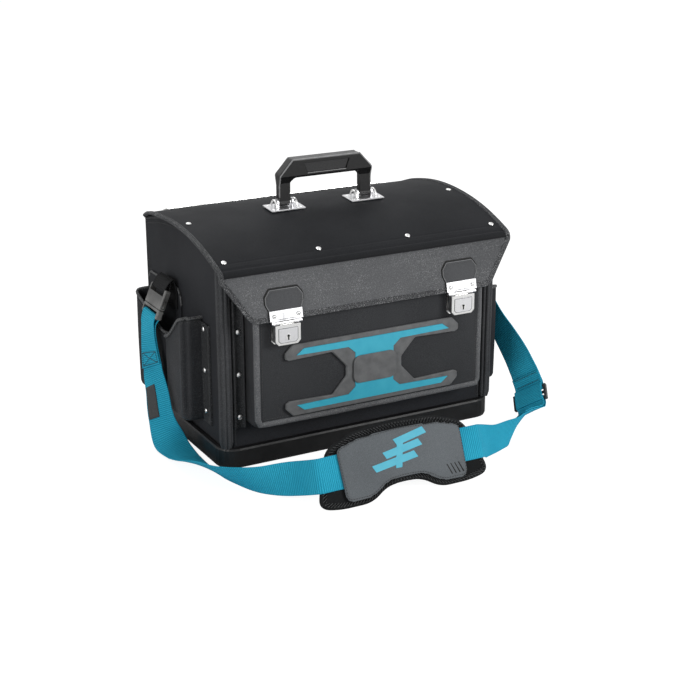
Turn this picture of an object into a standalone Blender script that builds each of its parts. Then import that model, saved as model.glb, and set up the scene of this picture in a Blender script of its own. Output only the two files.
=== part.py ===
"""Tool case: a boarded bag on a moulded tray, with a sprung lid flap, two locks, side pockets,
a folding carry handle and a shoulder strap with a pad.

Metres, +Z up. The origin is the centre of the tray's underside, +X is the viewer's right and
the front with the locks faces -Y.
"""

import math

import bmesh
import bpy
from mathutils import Matrix, Vector

MM = 0.001

# Clearances and cuts
SEAT_GAP = 0.3 * MM
RUN_GAP = 0.4 * MM
OVERRUN = 6 * MM
MERGE = 0.00001
FLAT_ANGLE = math.radians(0.5)

# Moulded tray
TRAY_WIDTH = 480 * MM
TRAY_DEPTH = 307 * MM
TRAY_HEIGHT = 33 * MM
TRAY_CORNER = 28 * MM
TRAY_FLOOR = 5 * MM
TRAY_EDGE_ROUND = 4 * MM

# Boarded body that stands in the tray
BODY_INSET = 8.3 * MM
BODY_WALL = 4 * MM
BODY_FLOOR = 4 * MM
CORNER_ROLL_RADIUS = 10.5 * MM
CORNER_ROLL_INSET = 1.7 * MM
FLOOR_BOARD_THICKNESS = 3 * MM
TOOL_BOARD_THICKNESS = 3.5 * MM
TOOL_BOARD_DROP = 99 * MM
TOOL_BOARD_SETBACK = 38 * MM

# Lid: a domed top, a fold and a front flap in one skin
LID_OVERHANG = 8 * MM
LID_THICKNESS = 4 * MM
LID_BACK_REACH = 3 * MM
LID_BACK_HEIGHT = 331 * MM
LID_CREST_OFFSET = 30 * MM
LID_CREST_RISE = 21 * MM
LID_FOLD_REACH = 24 * MM
LID_FOLD_DROP = 15 * MM
LID_FOLD_RADIUS = 12 * MM
LID_CROWN = 7 * MM
FLAP_DROP = 65.6 * MM
FLAP_TILT = math.radians(11.5)
FLAP_CORNER_INSET = 44 * MM
FLAP_CORNER_RADIUS = 16 * MM

# Piano hinge along the back edge
HINGE_RADIUS = 3.2 * MM
HINGE_PIN_RADIUS = 1.3 * MM
HINGE_LEAF_THICKNESS = 1.5 * MM
HINGE_LEAF_HEIGHT = 20 * MM
HINGE_LENGTH = 400 * MM
HINGE_KNUCKLES = 9

# Front pocket
POCKET_WIDTH = 396 * MM
POCKET_PROUD = 36 * MM
POCKET_BOTTOM = 68.5 * MM
POCKET_TOP_DROP = 77 * MM
POCKET_WALL = 3 * MM
POCKET_EDGE_RADIUS = 8 * MM

# Rivet strips beside the front pocket
STRIP_WIDTH = 19 * MM
STRIP_THICKNESS = 2 * MM
STRIP_BOTTOM = 62 * MM
STRIP_TOP_DROP = 31 * MM
STRIP_RIVET_PITCH = 67 * MM
STRIP_RIVET_LOWEST = 80.5 * MM

# Rivets, each group standing on a backing bar behind what it holds
RIVET_RADIUS = 4.2 * MM
RIVET_HEIGHT = 2 * MM
RIVET_POST_RADIUS = 1.8 * MM
RIVET_BAR_THICKNESS = 1.5 * MM
RIVET_BAR_WIDTH = 10 * MM
RIVET_BAR_MARGIN = 8 * MM
LID_RIVET_REACH = 229 * MM
LID_RIVET_FRONT_SETBACK = 18 * MM

# Side pockets, alike on both ends but turned half round
HOLSTER_REACH = 30 * MM
HOLSTER_REAR_INSET = 13.6 * MM
HOLSTER_BOTTOM = 54 * MM
HOLSTER_RIM_DROP = 119 * MM
HOLSTER_RIM_FALL = 38 * MM
HOLSTER_BACK_RISE = 28 * MM
HOLSTER_CORNER = 14 * MM
SIDE_POCKET_WALL = 2.6 * MM
TUBE_REACH = 32 * MM
TUBE_FRONT_ROUND = 14 * MM
TUBE_WIDTH = 75 * MM
TUBE_BOTTOM = 54 * MM
TUBE_RIM_RISE = 8 * MM
SIDE_POCKET_SPACING = 1.5 * MM
SIDE_STRIP_WIDTH = 28 * MM
SIDE_STRIP_FRONT_INSET = 45.4 * MM
SIDE_STRIP_THICKNESS = 2.5 * MM
SIDE_STRIP_RISE = 2 * MM
SIDE_RIVET_LOWEST = 73 * MM
SIDE_RIVET_TOP_MARGIN = 10 * MM

# Locks
LOCK_SPACING = 301 * MM
TAB_WIDTH = 60 * MM
TAB_HEIGHT = 46 * MM
TAB_THICKNESS = 2 * MM
STRIKE_WIDTH = 53 * MM
STRIKE_HEIGHT = 15 * MM
STRIKE_THICKNESS = 1.5 * MM
LOCK_KNUCKLE_RADIUS = 2.6 * MM
LOCK_PIN_RADIUS = 1.1 * MM
LOCK_KNUCKLE_SPREAD = 24.5 * MM
LOCK_KNUCKLE_MIDDLE = 23 * MM
COVER_WIDTH = 41 * MM
COVER_HEIGHT = 30.5 * MM
COVER_DEPTH = 10 * MM
COVER_SHEET = 1.5 * MM
COVER_CHAMFER = 5 * MM
CATCH_WIDTH = 20 * MM
CATCH_HEIGHT = 18 * MM
CATCH_DEPTH = 5 * MM
CYLINDER_RADIUS = 4.6 * MM
CYLINDER_LENGTH = 6 * MM
CYLINDER_RISE = 12 * MM
KEYHOLE_RADIUS = 1.3 * MM
KEYHOLE_SLOT_WIDTH = 1.2 * MM
KEYHOLE_SLOT_LENGTH = 4.5 * MM
KEYHOLE_DEPTH = 2 * MM

# Carry handle
HANDLE_SPACING = 139 * MM
HANDLE_SETBACK = 120 * MM
PLATE_LENGTH = 58 * MM
PLATE_WIDTH = 34 * MM
PLATE_THICKNESS = 2.5 * MM
PLATE_LIFT = 0.6 * MM
EAR_THICKNESS = 3 * MM
EAR_RADIUS = 6 * MM
EAR_FOOT_REACH = 5.2 * MM
HANDLE_PIVOT_RISE = 6.4 * MM
HANDLE_LEG_WIDTH = 21.4 * MM
HANDLE_LEG_THICKNESS = 11 * MM
HANDLE_FOOT_RADIUS = 6 * MM
HANDLE_GRIP_THICKNESS = 20 * MM
HANDLE_RISE = 66.5 * MM
HANDLE_GRIP_HEIGHT = 29 * MM
HANDLE_SHOULDER = 22 * MM
HANDLE_EDGE_ROUND = 2.5 * MM
HANDLE_LEG_HEIGHT = 30 * MM
HANDLE_PIN_RADIUS = 3 * MM

# Brace on the front pocket
BRACE_WIDTH = 300 * MM
BRACE_TOP_DROP = 137 * MM
BRACE_FOOT_RISE = 13.5 * MM
BRACE_THICKNESS = 5 * MM
BRACE_BAR_SHARE = 3 / 14
BRACE_BLOCK_WIDTH = 96 * MM
BRACE_GROOVE_DEPTH = 1.6 * MM
INLAY_THICKNESS = 2 * MM
INLAY_SHARE = 9 / 24
BADGE_WIDTH = 74 * MM
BADGE_SHARE = 44 / 112

# Webbing
WEB_WIDTH = 50 * MM
WEB_THICKNESS = 1.6 * MM
WEB_PLY_SPACING = 2.4 * MM
WEB_SEWN_LENGTH = 70 * MM
WEB_STATION_PITCH = 12 * MM
WEB_LEAD = 13 * MM
BAR_RADIUS = 2 * MM
BAR_CLEARANCE = 1.3 * MM
PLY_PARTING_SHARE = 1 / 6

# Anchors and side-release buckles
ANCHOR_RISE = 43 * MM
ANCHOR_SETBACK = -28.3 * MM
ANCHOR_PATCH_HEIGHT = 30 * MM
ANCHOR_STAND_OFF = 19 * MM
ANCHOR_DROP = 15 * MM
ANCHOR_LOOP_REACH = 5 * MM
BUCKLE_WIDTH = 60 * MM
BUCKLE_THICKNESS = 10 * MM
BUCKLE_LEAN = math.radians(24)
SOCKET_LENGTH = 32 * MM
PLUG_BASE_LENGTH = 15 * MM
PRONG_LENGTH = 18 * MM
PRONG_WIDTH = 6 * MM
PRONG_THICKNESS = 5 * MM
BUCKLE_WINDOW = 7 * MM

# Shoulder pad and the strap's lie on the floor
PAD_LENGTH = 272 * MM
PAD_HEIGHT = 106 * MM
PAD_BACKING_THICKNESS = 9 * MM
PAD_COVER_THICKNESS = 6 * MM
PAD_LEAN = math.radians(25)
PAD_STAND_OFF = 196.5 * MM
PAD_OFFSET = -40 * MM
PAD_EDGE_ROUND = 1.5 * MM
PAD_CORNER = 16 * MM
PAD_STRAP_SHARE = 0.485
FLOOR_CLEARANCE = 0.5 * MM
PAD_CHANNEL_MARGIN = 1.5 * MM
PAD_INLAY_THICKNESS = 1 * MM
STRAP_SIDE_REACH = 34 * MM
STRAP_RISE_SHARE = 50 / 252
SLIDER_BAR_PITCH = 12 * MM
SLIDER_BAR_RADIUS = 2.6 * MM
SLIDER_RAIL_WIDTH = 4 * MM

# Places worked out from the sizes above
BODY_WIDTH = TRAY_WIDTH - 2 * BODY_INSET
BODY_DEPTH = TRAY_DEPTH - 2 * BODY_INSET - 2 * SEAT_GAP
BODY_BASE = TRAY_FLOOR + SEAT_GAP
BODY_FRONT = -BODY_DEPTH / 2
BODY_BACK = BODY_DEPTH / 2
LID_HALF_WIDTH = TRAY_WIDTH / 2 + LID_OVERHANG
LID_BACK = BODY_BACK + LID_BACK_REACH
LID_CREST_HEIGHT = LID_BACK_HEIGHT + LID_CREST_RISE
LID_FOLD_START = BODY_FRONT - LID_FOLD_REACH
LID_FOLD_HEIGHT = LID_BACK_HEIGHT - LID_FOLD_DROP
HINGE_Y = LID_BACK + SEAT_GAP + HINGE_RADIUS
HINGE_Z = LID_BACK_HEIGHT - LID_THICKNESS / 2 - HINGE_PIN_RADIUS
POCKET_FACE = BODY_FRONT - POCKET_PROUD
POCKET_TOP = LID_BACK_HEIGHT - POCKET_TOP_DROP
STRIP_TOP = LID_BACK_HEIGHT - STRIP_TOP_DROP
TOOL_BOARD_HEIGHT = LID_BACK_HEIGHT - TOOL_BOARD_DROP
BRACE_FOOT = POCKET_BOTTOM + BRACE_FOOT_RISE
BRACE_HEIGHT = LID_BACK_HEIGHT - BRACE_TOP_DROP - BRACE_FOOT
BRACE_CENTRE = BRACE_FOOT + BRACE_HEIGHT / 2
BRACE_BAR_HEIGHT = BRACE_HEIGHT * BRACE_BAR_SHARE
INLAY_HEIGHT = BRACE_BAR_HEIGHT * INLAY_SHARE
BADGE_HEIGHT = BRACE_HEIGHT * BADGE_SHARE
HOLSTER_RIM_HIGH = LID_BACK_HEIGHT - HOLSTER_RIM_DROP
HOLSTER_RIM_LOW = HOLSTER_RIM_HIGH - HOLSTER_RIM_FALL
HOLSTER_BACK_TOP = HOLSTER_RIM_HIGH + HOLSTER_BACK_RISE
TUBE_RIM_HIGH = HOLSTER_RIM_HIGH + TUBE_RIM_RISE
SIDE_STRIP_TOP = HOLSTER_RIM_HIGH + SIDE_STRIP_RISE
SIDE_RIVET_PITCH = (SIDE_STRIP_TOP - SIDE_RIVET_TOP_MARGIN - SIDE_RIVET_LOWEST) / 2
HOLSTER_WIDTH = (BODY_DEPTH - HOLSTER_REAR_INSET - SIDE_POCKET_SPACING - TUBE_WIDTH - SEAT_GAP
                 - SIDE_STRIP_WIDTH - SIDE_STRIP_FRONT_INSET)
ANCHOR_OFFSET = BODY_BACK - HOLSTER_REAR_INSET - HOLSTER_WIDTH / 2 + ANCHOR_SETBACK
ANCHOR_HEIGHT = HOLSTER_RIM_HIGH + ANCHOR_RISE


def clear_scene():
    """Start from an empty file."""
    for old in list(bpy.data.objects):
        bpy.data.objects.remove(old)


def make_collection(name):
    """A collection linked to the scene."""
    collection = bpy.data.collections.new(name)
    bpy.context.scene.collection.children.link(collection)
    return collection


def make_material(name, colour, roughness, metallic=0.0):
    """A plain Principled material."""
    made = bpy.data.materials.new(name)
    made.use_nodes = True
    shader = made.node_tree.nodes["Principled BSDF"]
    shader.inputs["Base Color"].default_value = (*colour, 1.0)
    shader.inputs["Roughness"].default_value = roughness
    shader.inputs["Metallic"].default_value = metallic
    made.diffuse_color = (*colour, 1.0)
    return made


clear_scene()
PARTS = make_collection("tool_case")
CUTTERS = make_collection("cutters")
HARD_PLASTIC = make_material("tray_plastic", (0.012, 0.012, 0.013), 0.45)
BODY_CLOTH = make_material("body_cloth", (0.035, 0.036, 0.038), 0.7)
LID_CLOTH = make_material("lid_cloth", (0.05, 0.052, 0.054), 0.62)
BOARD = make_material("lining_board", (0.03, 0.03, 0.03), 0.8)
NICKEL = make_material("nickel_plate", (0.78, 0.78, 0.76), 0.22, 1.0)
GRIP_PLASTIC = make_material("grip_plastic", (0.02, 0.02, 0.02), 0.5)
GREY_RUBBER = make_material("grey_rubber", (0.13, 0.125, 0.12), 0.6)
BLUE_TRIM = make_material("blue_trim", (0.02, 0.30, 0.42), 0.5)
BLUE_WEB = make_material("blue_webbing", (0.02, 0.27, 0.38), 0.75)
BLACK_WEB = make_material("black_webbing", (0.012, 0.012, 0.012), 0.8)
BUCKLE_PLASTIC = make_material("buckle_plastic", (0.05, 0.05, 0.05), 0.4)
PAD_CLOTH = make_material("pad_cloth", (0.16, 0.155, 0.15), 0.75)


def add(name, mesh, material, frame=Matrix.Identity(4)):
    """Put a mesh in the parts collection under its node name."""
    made = bpy.data.objects.new(name, mesh)
    mesh.materials.clear()
    mesh.materials.append(material)
    PARTS.objects.link(made)
    made.matrix_world = frame
    return made


def cutter(mesh, frame=Matrix.Identity(4)):
    """Put a mesh among the cutters, out of the render."""
    made = bpy.data.objects.new("cutter_" + mesh.name, mesh)
    CUTTERS.objects.link(made)
    made.matrix_world = frame
    made.hide_render = True
    made.display_type = "WIRE"
    return made


def combine(target, tool, operation="DIFFERENCE"):
    """Cut a part with a cutter, or join a cutter's shape to it."""
    step = target.modifiers.new(operation.lower(), "BOOLEAN")
    step.operation = operation
    step.solver = "EXACT"
    step.object = tool


def round_edges(target, width, segments=2, limit=math.radians(40)):
    """Bevel the edges that are sharper than the limit."""
    step = target.modifiers.new("rounded_edges", "BEVEL")
    step.width = width
    step.segments = segments
    step.limit_method = "ANGLE"
    step.angle_limit = limit


def shade_round(target, angle=math.radians(35)):
    """Shade round pieces smooth and keep their sharp edges."""
    target.data.shade_smooth()
    target.data.set_sharp_from_angle(angle=angle)


def mesh_from(name, build):
    """A mesh that one bmesh function fills."""
    mesh = bpy.data.meshes.new(name)
    work = bmesh.new()
    build(work)
    work.to_mesh(mesh)
    work.free()
    return mesh


def box_mesh(name, low, high):
    """A box between two corners."""
    low = Vector(low)
    high = Vector(high)
    size = high - low
    place = Matrix.Translation((low + high) / 2) @ Matrix.Diagonal((*size, 1.0))
    return mesh_from(name, lambda work: bmesh.ops.create_cube(work, size=1.0, matrix=place))


def rod_mesh(name, start, end, radius, sides=20):
    """A round rod between two points."""
    start = Vector(start)
    end = Vector(end)
    turn = (end - start).to_track_quat("Z", "Y").to_matrix().to_4x4()
    place = Matrix.Translation((start + end) / 2) @ turn
    depth = (end - start).length
    return mesh_from(name, lambda work: bmesh.ops.create_cone(
        work, cap_ends=True, segments=sides, radius1=radius, radius2=radius, depth=depth, matrix=place))


def prism_mesh(name, outline, start, end, frame=Matrix.Identity(4)):
    """A flat outline in the frame's XY plane, filled and extruded along the frame's Z."""
    curve = bpy.data.curves.new(name, "CURVE")
    curve.dimensions = "2D"
    curve.fill_mode = "BOTH"
    curve.extrude = (end - start) / 2
    spline = curve.splines.new("POLY")
    spline.points.add(len(outline) - 1)
    for point, (across, up) in zip(spline.points, outline):
        point.co = (across, up, 0.0, 1.0)
    spline.use_cyclic_u = True
    holder = bpy.data.objects.new(name, curve)
    CUTTERS.objects.link(holder)
    bpy.context.view_layer.update()
    mesh = bpy.data.meshes.new_from_object(holder.evaluated_get(bpy.context.evaluated_depsgraph_get()))
    bpy.data.objects.remove(holder)
    mesh.name = name
    work = bmesh.new()
    work.from_mesh(mesh)
    bmesh.ops.remove_doubles(work, verts=work.verts, dist=MERGE)
    middle = Matrix.Translation((0, 0, (start + end) / 2))
    bmesh.ops.transform(work, matrix=frame @ middle, verts=work.verts)
    bmesh.ops.dissolve_limit(work, angle_limit=FLAT_ANGLE, verts=work.verts, edges=work.edges)
    bmesh.ops.recalc_face_normals(work, faces=work.faces)
    work.to_mesh(mesh)
    work.free()
    return mesh


def turned_mesh(name, profile, steps=14):
    """A profile of (radius, height) points, top to bottom, turned about Z by a Screw modifier."""
    mesh = bpy.data.meshes.new(name)
    points = [(radius, 0.0, height) for radius, height in profile]
    edges = [(index, index + 1) for index in range(len(points) - 1)]
    mesh.from_pydata(points, edges, [])
    holder = bpy.data.objects.new(name, mesh)
    CUTTERS.objects.link(holder)
    step = holder.modifiers.new("turned", "SCREW")
    step.steps = steps
    step.render_steps = steps
    step.use_merge_vertices = True
    step.merge_threshold = MERGE
    bpy.context.view_layer.update()
    made = bpy.data.meshes.new_from_object(holder.evaluated_get(bpy.context.evaluated_depsgraph_get()))
    bpy.data.objects.remove(holder)
    made.name = name
    return made


def arc_points(centre, radius, start, end, steps):
    """Points along an arc, in degrees, both ends included."""
    points = []
    for step in range(steps + 1):
        angle = math.radians(start + (end - start) * step / steps)
        points.append((centre[0] + radius * math.cos(angle), centre[1] + radius * math.sin(angle)))
    return points


def rounded_rectangle(half_width, half_height, radius, steps=5):
    """The outline of a rectangle with round corners, about the origin."""
    outline = []
    for quarter, (side, top) in enumerate(((1, 1), (-1, 1), (-1, -1), (1, -1))):
        corner = (side * (half_width - radius), top * (half_height - radius))
        outline += arc_points(corner, radius, 90 * quarter, 90 * quarter + 90, steps)
    return outline


def mirrored(half):
    """A full outline from its right half, given from bottom to top."""
    return half + [(-across, up) for across, up in reversed(half) if across > MERGE]


def filleted(corners, radius, steps=4):
    """A closed outline from corners, each rounded as far as its two edges allow."""
    outline = []
    edge_share = 0.48
    for index, corner in enumerate(corners):
        corner = Vector(corner)
        before = Vector(corners[index - 1]) - corner
        after = Vector(corners[(index + 1) % len(corners)]) - corner
        near = corner + before.normalized() * min(radius, before.length * edge_share)
        far = corner + after.normalized() * min(radius, after.length * edge_share)
        for step in range(steps + 1):
            t = step / steps
            outline.append(tuple(near * (1 - t) ** 2 + corner * 2 * t * (1 - t) + far * t ** 2))
    return outline


def smooth_route(route, pitch):
    """A smooth curve through a route of (centre, across), as stations about a pitch apart."""
    places = [0.0]
    for (start, _), (end, _) in zip(route, route[1:]):
        places.append(places[-1] + (end - start).length)
    slopes = []
    for index in range(len(route)):
        low = max(index - 1, 0)
        high = min(index + 1, len(route) - 1)
        span = places[high] - places[low]
        slopes.append([(route[high][part] - route[low][part]) / span for part in (0, 1)])
    made = []
    for index in range(len(route) - 1):
        span = places[index + 1] - places[index]
        steps = max(1, round(span / pitch))
        for step in range(steps):
            t = step / steps
            weights = (2 * t ** 3 - 3 * t ** 2 + 1, (t ** 3 - 2 * t ** 2 + t) * span,
                       3 * t ** 2 - 2 * t ** 3, (t ** 3 - t ** 2) * span)
            made.append([route[index][part] * weights[0] + slopes[index][part] * weights[1]
                         + route[index + 1][part] * weights[2] + slopes[index + 1][part] * weights[3]
                         for part in (0, 1)])
    made.append(list(route[-1]))
    return made


def circle_through(first, second, third):
    """The centre and radius of the circle through three (y, z) points."""
    (ay, az), (by, bz), (cy, cz) = first, second, third
    twice_area = 2 * (ay * (bz - cz) + by * (cz - az) + cy * (az - bz))
    a_square = ay * ay + az * az
    b_square = by * by + bz * bz
    c_square = cy * cy + cz * cz
    centre_y = (a_square * (bz - cz) + b_square * (cz - az) + c_square * (az - bz)) / twice_area
    centre_z = (a_square * (cy - by) + b_square * (ay - cy) + c_square * (by - ay)) / twice_area
    return centre_y, centre_z, math.hypot(ay - centre_y, az - centre_z)


DOME_Y, DOME_Z, DOME_RADIUS = circle_through((LID_BACK, LID_BACK_HEIGHT),
                                             (LID_CREST_OFFSET, LID_CREST_HEIGHT),
                                             (LID_FOLD_START, LID_FOLD_HEIGHT))

# Frames that stand an outline up: one faces the front, the other looks along X
FACING_FRONT = Matrix.Rotation(math.radians(90), 4, "X")
ALONG_X = Matrix.Rotation(math.radians(90), 4, "Z") @ FACING_FRONT


def dome_height(y, drop=0.0):
    """Height of the lid's end curve at y, or of a curve that lies a drop inside it."""
    radius = DOME_RADIUS - drop
    return DOME_Z + math.sqrt(radius * radius - (y - DOME_Y) ** 2)


def lid_crown(x, y):
    """How far the lid stands above its end curve: full in the middle, none by the hinge and edges."""
    back = LID_BACK - HINGE_LEAF_HEIGHT
    middle = (back + LID_FOLD_START) / 2
    span = (back - LID_FOLD_START) / 2
    along = max(0.0, 1 - ((y - middle) / span) ** 2)
    across = max(0.0, 1 - (x / LID_HALF_WIDTH) ** 2)
    return LID_CROWN * along * across


def lid_frame(x, y):
    """A frame on the lid's outer face, its Z out of the face."""
    lean = math.atan2(DOME_Y - y, math.sqrt(DOME_RADIUS ** 2 - (y - DOME_Y) ** 2))
    height = dome_height(y) + lid_crown(x, y)
    return Matrix.Translation((x, y, height)) @ Matrix.Rotation(lean, 4, "X")


FOLD_LEAN = math.asin((DOME_Y - LID_FOLD_START) / DOME_RADIUS)
FOLD_CENTRE = (LID_FOLD_START + LID_FOLD_RADIUS * math.sin(FOLD_LEAN),
               LID_FOLD_HEIGHT - LID_FOLD_RADIUS * math.cos(FOLD_LEAN))
FOLD_END_LEAN = math.radians(90) + FLAP_TILT
FLAP_TOP = (FOLD_CENTRE[0] - LID_FOLD_RADIUS * math.cos(FLAP_TILT),
            FOLD_CENTRE[1] + LID_FOLD_RADIUS * math.sin(-FLAP_TILT))
FLAP_LENGTH = FLAP_DROP / math.cos(FLAP_TILT)


def flap_point(distance):
    """The (y, z) of the flap's outer face, a distance down from the fold."""
    return (FLAP_TOP[0] - distance * math.sin(FLAP_TILT), FLAP_TOP[1] - distance * math.cos(FLAP_TILT))


def flap_frame(x, distance):
    """A frame on the flap's outer face: X across, Y up the flap, Z out of it."""
    y, z = flap_point(distance)
    return Matrix.Translation((x, y, z)) @ Matrix.Rotation(math.radians(90) - FLAP_TILT, 4, "X")


def build_tray():
    """The moulded tray: a round-cornered dish that the body stands in."""
    outline = rounded_rectangle(TRAY_WIDTH / 2, TRAY_DEPTH / 2, TRAY_CORNER)
    tray = add("base_tray", prism_mesh("base_tray", outline, 0, TRAY_HEIGHT), HARD_PLASTIC)
    round_edges(tray, TRAY_EDGE_ROUND)
    half_width = BODY_WIDTH / 2 + SEAT_GAP
    half_depth = BODY_DEPTH / 2 + SEAT_GAP
    combine(tray, cutter(box_mesh("tray_well", (-half_width, -half_depth, TRAY_FLOOR),
                                  (half_width, half_depth, TRAY_HEIGHT + OVERRUN))))
    shade_round(tray)


def body_top(y):
    """The height of the side panels, just under the lid and its rivet bars."""
    return dome_height(y, LID_THICKNESS + RIVET_BAR_THICKNESS + 2 * SEAT_GAP)


def roll_centre(side, end):
    """The axis of a front corner roll."""
    inset = CORNER_ROLL_INSET + BODY_WALL / 4
    return side * (BODY_WIDTH / 2 - inset), end * (BODY_DEPTH / 2 - inset)


def build_body():
    """The boarded body: floor, four walls and side panels that follow the lid."""
    steps = 14
    top = [(BODY_FRONT + BODY_DEPTH * step / steps) for step in range(steps + 1)]
    outline = [(BODY_BACK, BODY_BASE), (BODY_FRONT, BODY_BASE)]
    outline = outline[::-1] + [(y, body_top(y)) for y in reversed(top)]
    mesh = prism_mesh("body_shell", outline, -BODY_WIDTH / 2, BODY_WIDTH / 2, ALONG_X)
    body = add("body_shell", mesh, BODY_CLOTH)
    combine(body, cutter(box_mesh("body_hollow",
                                  (-BODY_WIDTH / 2 + BODY_WALL, BODY_FRONT + BODY_WALL,
                                   BODY_BASE + BODY_FLOOR),
                                  (BODY_WIDTH / 2 - BODY_WALL, BODY_BACK - BODY_WALL,
                                   LID_CREST_HEIGHT + LID_CROWN + OVERRUN))))
    for side, name in ((-1, "left"), (1, "right")):
        x, y = roll_centre(side, -1)
        base = TRAY_HEIGHT + SEAT_GAP
        top_z = body_top(y - CORNER_ROLL_RADIUS)
        combine(body, cutter(rod_mesh("roll_seat_" + name, (x, y, base - SEAT_GAP),
                                      (x, y, LID_CREST_HEIGHT), CORNER_ROLL_RADIUS + SEAT_GAP)))
        roll = add("corner_roll_" + name,
                   rod_mesh("corner_roll_" + name, (x, y, base), (x, y, top_z), CORNER_ROLL_RADIUS),
                   BODY_CLOTH)
        shade_round(roll)


def build_inside():
    """The loose floor board and the upright tool board behind the main space."""
    floor = BODY_BASE + BODY_FLOOR + SEAT_GAP
    half_width = BODY_WIDTH / 2 - BODY_WALL - SEAT_GAP
    front = BODY_FRONT + BODY_WALL + CORNER_ROLL_RADIUS
    back = BODY_BACK - BODY_WALL - SEAT_GAP
    add("floor_board", box_mesh("floor_board", (-half_width, front, floor),
                                (half_width, back, floor + FLOOR_BOARD_THICKNESS)), BOARD)
    board_y = BODY_BACK - TOOL_BOARD_SETBACK
    base = floor + FLOOR_BOARD_THICKNESS + SEAT_GAP
    board = add("tool_board", box_mesh("tool_board", (-half_width, board_y, base),
                                       (half_width, board_y + TOOL_BOARD_THICKNESS,
                                        base + TOOL_BOARD_HEIGHT)), BOARD)
    round_edges(board, TOOL_BOARD_THICKNESS / 4)


def lid_rows():
    """The lid's profile: (y, z, half width, crowned) from the back edge to the flap's hem."""
    rows = []
    dome_steps = 12
    for step in range(dome_steps + 1):
        y = LID_BACK + (LID_FOLD_START - LID_BACK) * step / dome_steps
        rows.append((y, dome_height(y), LID_HALF_WIDTH, True))
    fold_steps = 4
    for step in range(1, fold_steps + 1):
        lean = FOLD_LEAN + (FOLD_END_LEAN - FOLD_LEAN) * step / fold_steps
        rows.append((FOLD_CENTRE[0] - LID_FOLD_RADIUS * math.sin(lean),
                     FOLD_CENTRE[1] + LID_FOLD_RADIUS * math.cos(lean), LID_HALF_WIDTH, False))
    hem_width = LID_HALF_WIDTH - FLAP_CORNER_INSET
    corner_start = FLAP_LENGTH - FLAP_CORNER_RADIUS
    corner_steps = 4
    distances = [corner_start / 2, corner_start]
    for step in range(1, corner_steps + 1):
        angle = math.radians(90) * step / corner_steps
        distances.append(corner_start + FLAP_CORNER_RADIUS * math.sin(angle))
    for distance in distances:
        slant = LID_HALF_WIDTH + (hem_width - LID_HALF_WIDTH) * distance / FLAP_LENGTH
        into_corner = max(0.0, distance - corner_start)
        fillet = FLAP_CORNER_RADIUS - math.sqrt(max(0.0, FLAP_CORNER_RADIUS ** 2 - into_corner ** 2))
        y, z = flap_point(distance)
        rows.append((y, z, slant - fillet, False))
    return rows


def build_lid():
    """The lid skin: an open surface laid over the profile and thickened inwards."""
    rows = lid_rows()
    columns = 14

    def lay(work):
        bmesh.ops.create_grid(work, x_segments=columns, y_segments=len(rows) - 1, size=1.0)
        for vertex in work.verts:
            share = vertex.co.x
            index = round((1 - vertex.co.y) / 2 * (len(rows) - 1))
            y, z, half_width, crowned = rows[index]
            x = share * half_width
            vertex.co = (x, y, z + (lid_crown(x, y) if crowned else 0.0))

    lid = add("lid_cover", mesh_from("lid_cover", lay), LID_CLOTH)
    shell = lid.modifiers.new("thickness", "SOLIDIFY")
    shell.thickness = LID_THICKNESS
    shell.offset = -1
    shell.use_even_offset = True
    shade_round(lid)
    return lid


def build_hinge():
    """A piano hinge: a leaf on the back panel, a leaf on the lid and one long pin."""
    half = HINGE_LENGTH / 2
    pitch = HINGE_LENGTH / HINGE_KNUCKLES
    leaf_face = BODY_BACK + SEAT_GAP
    knuckle_low = HINGE_Z - HINGE_RADIUS - SEAT_GAP
    body_leaf = add("hinge_body_leaf",
                    box_mesh("hinge_body_leaf", (-half, leaf_face, knuckle_low - HINGE_LEAF_HEIGHT),
                             (half, leaf_face + HINGE_LEAF_THICKNESS, knuckle_low)), NICKEL)
    lean = math.atan2(DOME_Y - LID_BACK, math.sqrt(DOME_RADIUS ** 2 - (LID_BACK - DOME_Y) ** 2))
    lid_place = Matrix.Translation((0, LID_BACK, LID_BACK_HEIGHT)) @ Matrix.Rotation(lean, 4, "X")
    lid_leaf = add("hinge_lid_leaf",
                   box_mesh("hinge_lid_leaf", (-half, -HINGE_LEAF_HEIGHT, PLATE_LIFT),
                            (half, 0, PLATE_LIFT + HINGE_LEAF_THICKNESS)), NICKEL, lid_place)
    for index in range(HINGE_KNUCKLES):
        start = -half + pitch * index + RUN_GAP / 2
        end = start + pitch - RUN_GAP
        name = "hinge_knuckle_%d" % index
        if index % 2 == 0:
            target = body_leaf
            low = (start, leaf_face, knuckle_low - HINGE_RADIUS)
            high = (end, HINGE_Y, HINGE_Z - HINGE_PIN_RADIUS - RUN_GAP)
        else:
            target = lid_leaf
            low = (start, LID_BACK - HINGE_LEAF_THICKNESS, LID_BACK_HEIGHT + PLATE_LIFT)
            high = (end, HINGE_Y, LID_BACK_HEIGHT + PLATE_LIFT + HINGE_LEAF_THICKNESS)
            riser = box_mesh(name + "_riser",
                             (start, HINGE_Y - HINGE_LEAF_THICKNESS, HINGE_Z + HINGE_PIN_RADIUS + RUN_GAP),
                             (end, HINGE_Y + HINGE_LEAF_THICKNESS / 2, high[2]))
            combine(target, cutter(riser), "UNION")
        combine(target, cutter(rod_mesh(name, (start, HINGE_Y, HINGE_Z), (end, HINGE_Y, HINGE_Z),
                                        HINGE_RADIUS)), "UNION")
        combine(target, cutter(box_mesh(name + "_web", low, high)), "UNION")
    bore = cutter(rod_mesh("hinge_bore", (-half - OVERRUN, HINGE_Y, HINGE_Z),
                           (half + OVERRUN, HINGE_Y, HINGE_Z), HINGE_PIN_RADIUS + SEAT_GAP))
    combine(body_leaf, bore)
    combine(lid_leaf, bore)
    pin = add("hinge_pin", rod_mesh("hinge_pin", (-half, HINGE_Y, HINGE_Z), (half, HINGE_Y, HINGE_Z),
                                    HINGE_PIN_RADIUS, 12), NICKEL)
    shade_round(pin)


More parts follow.
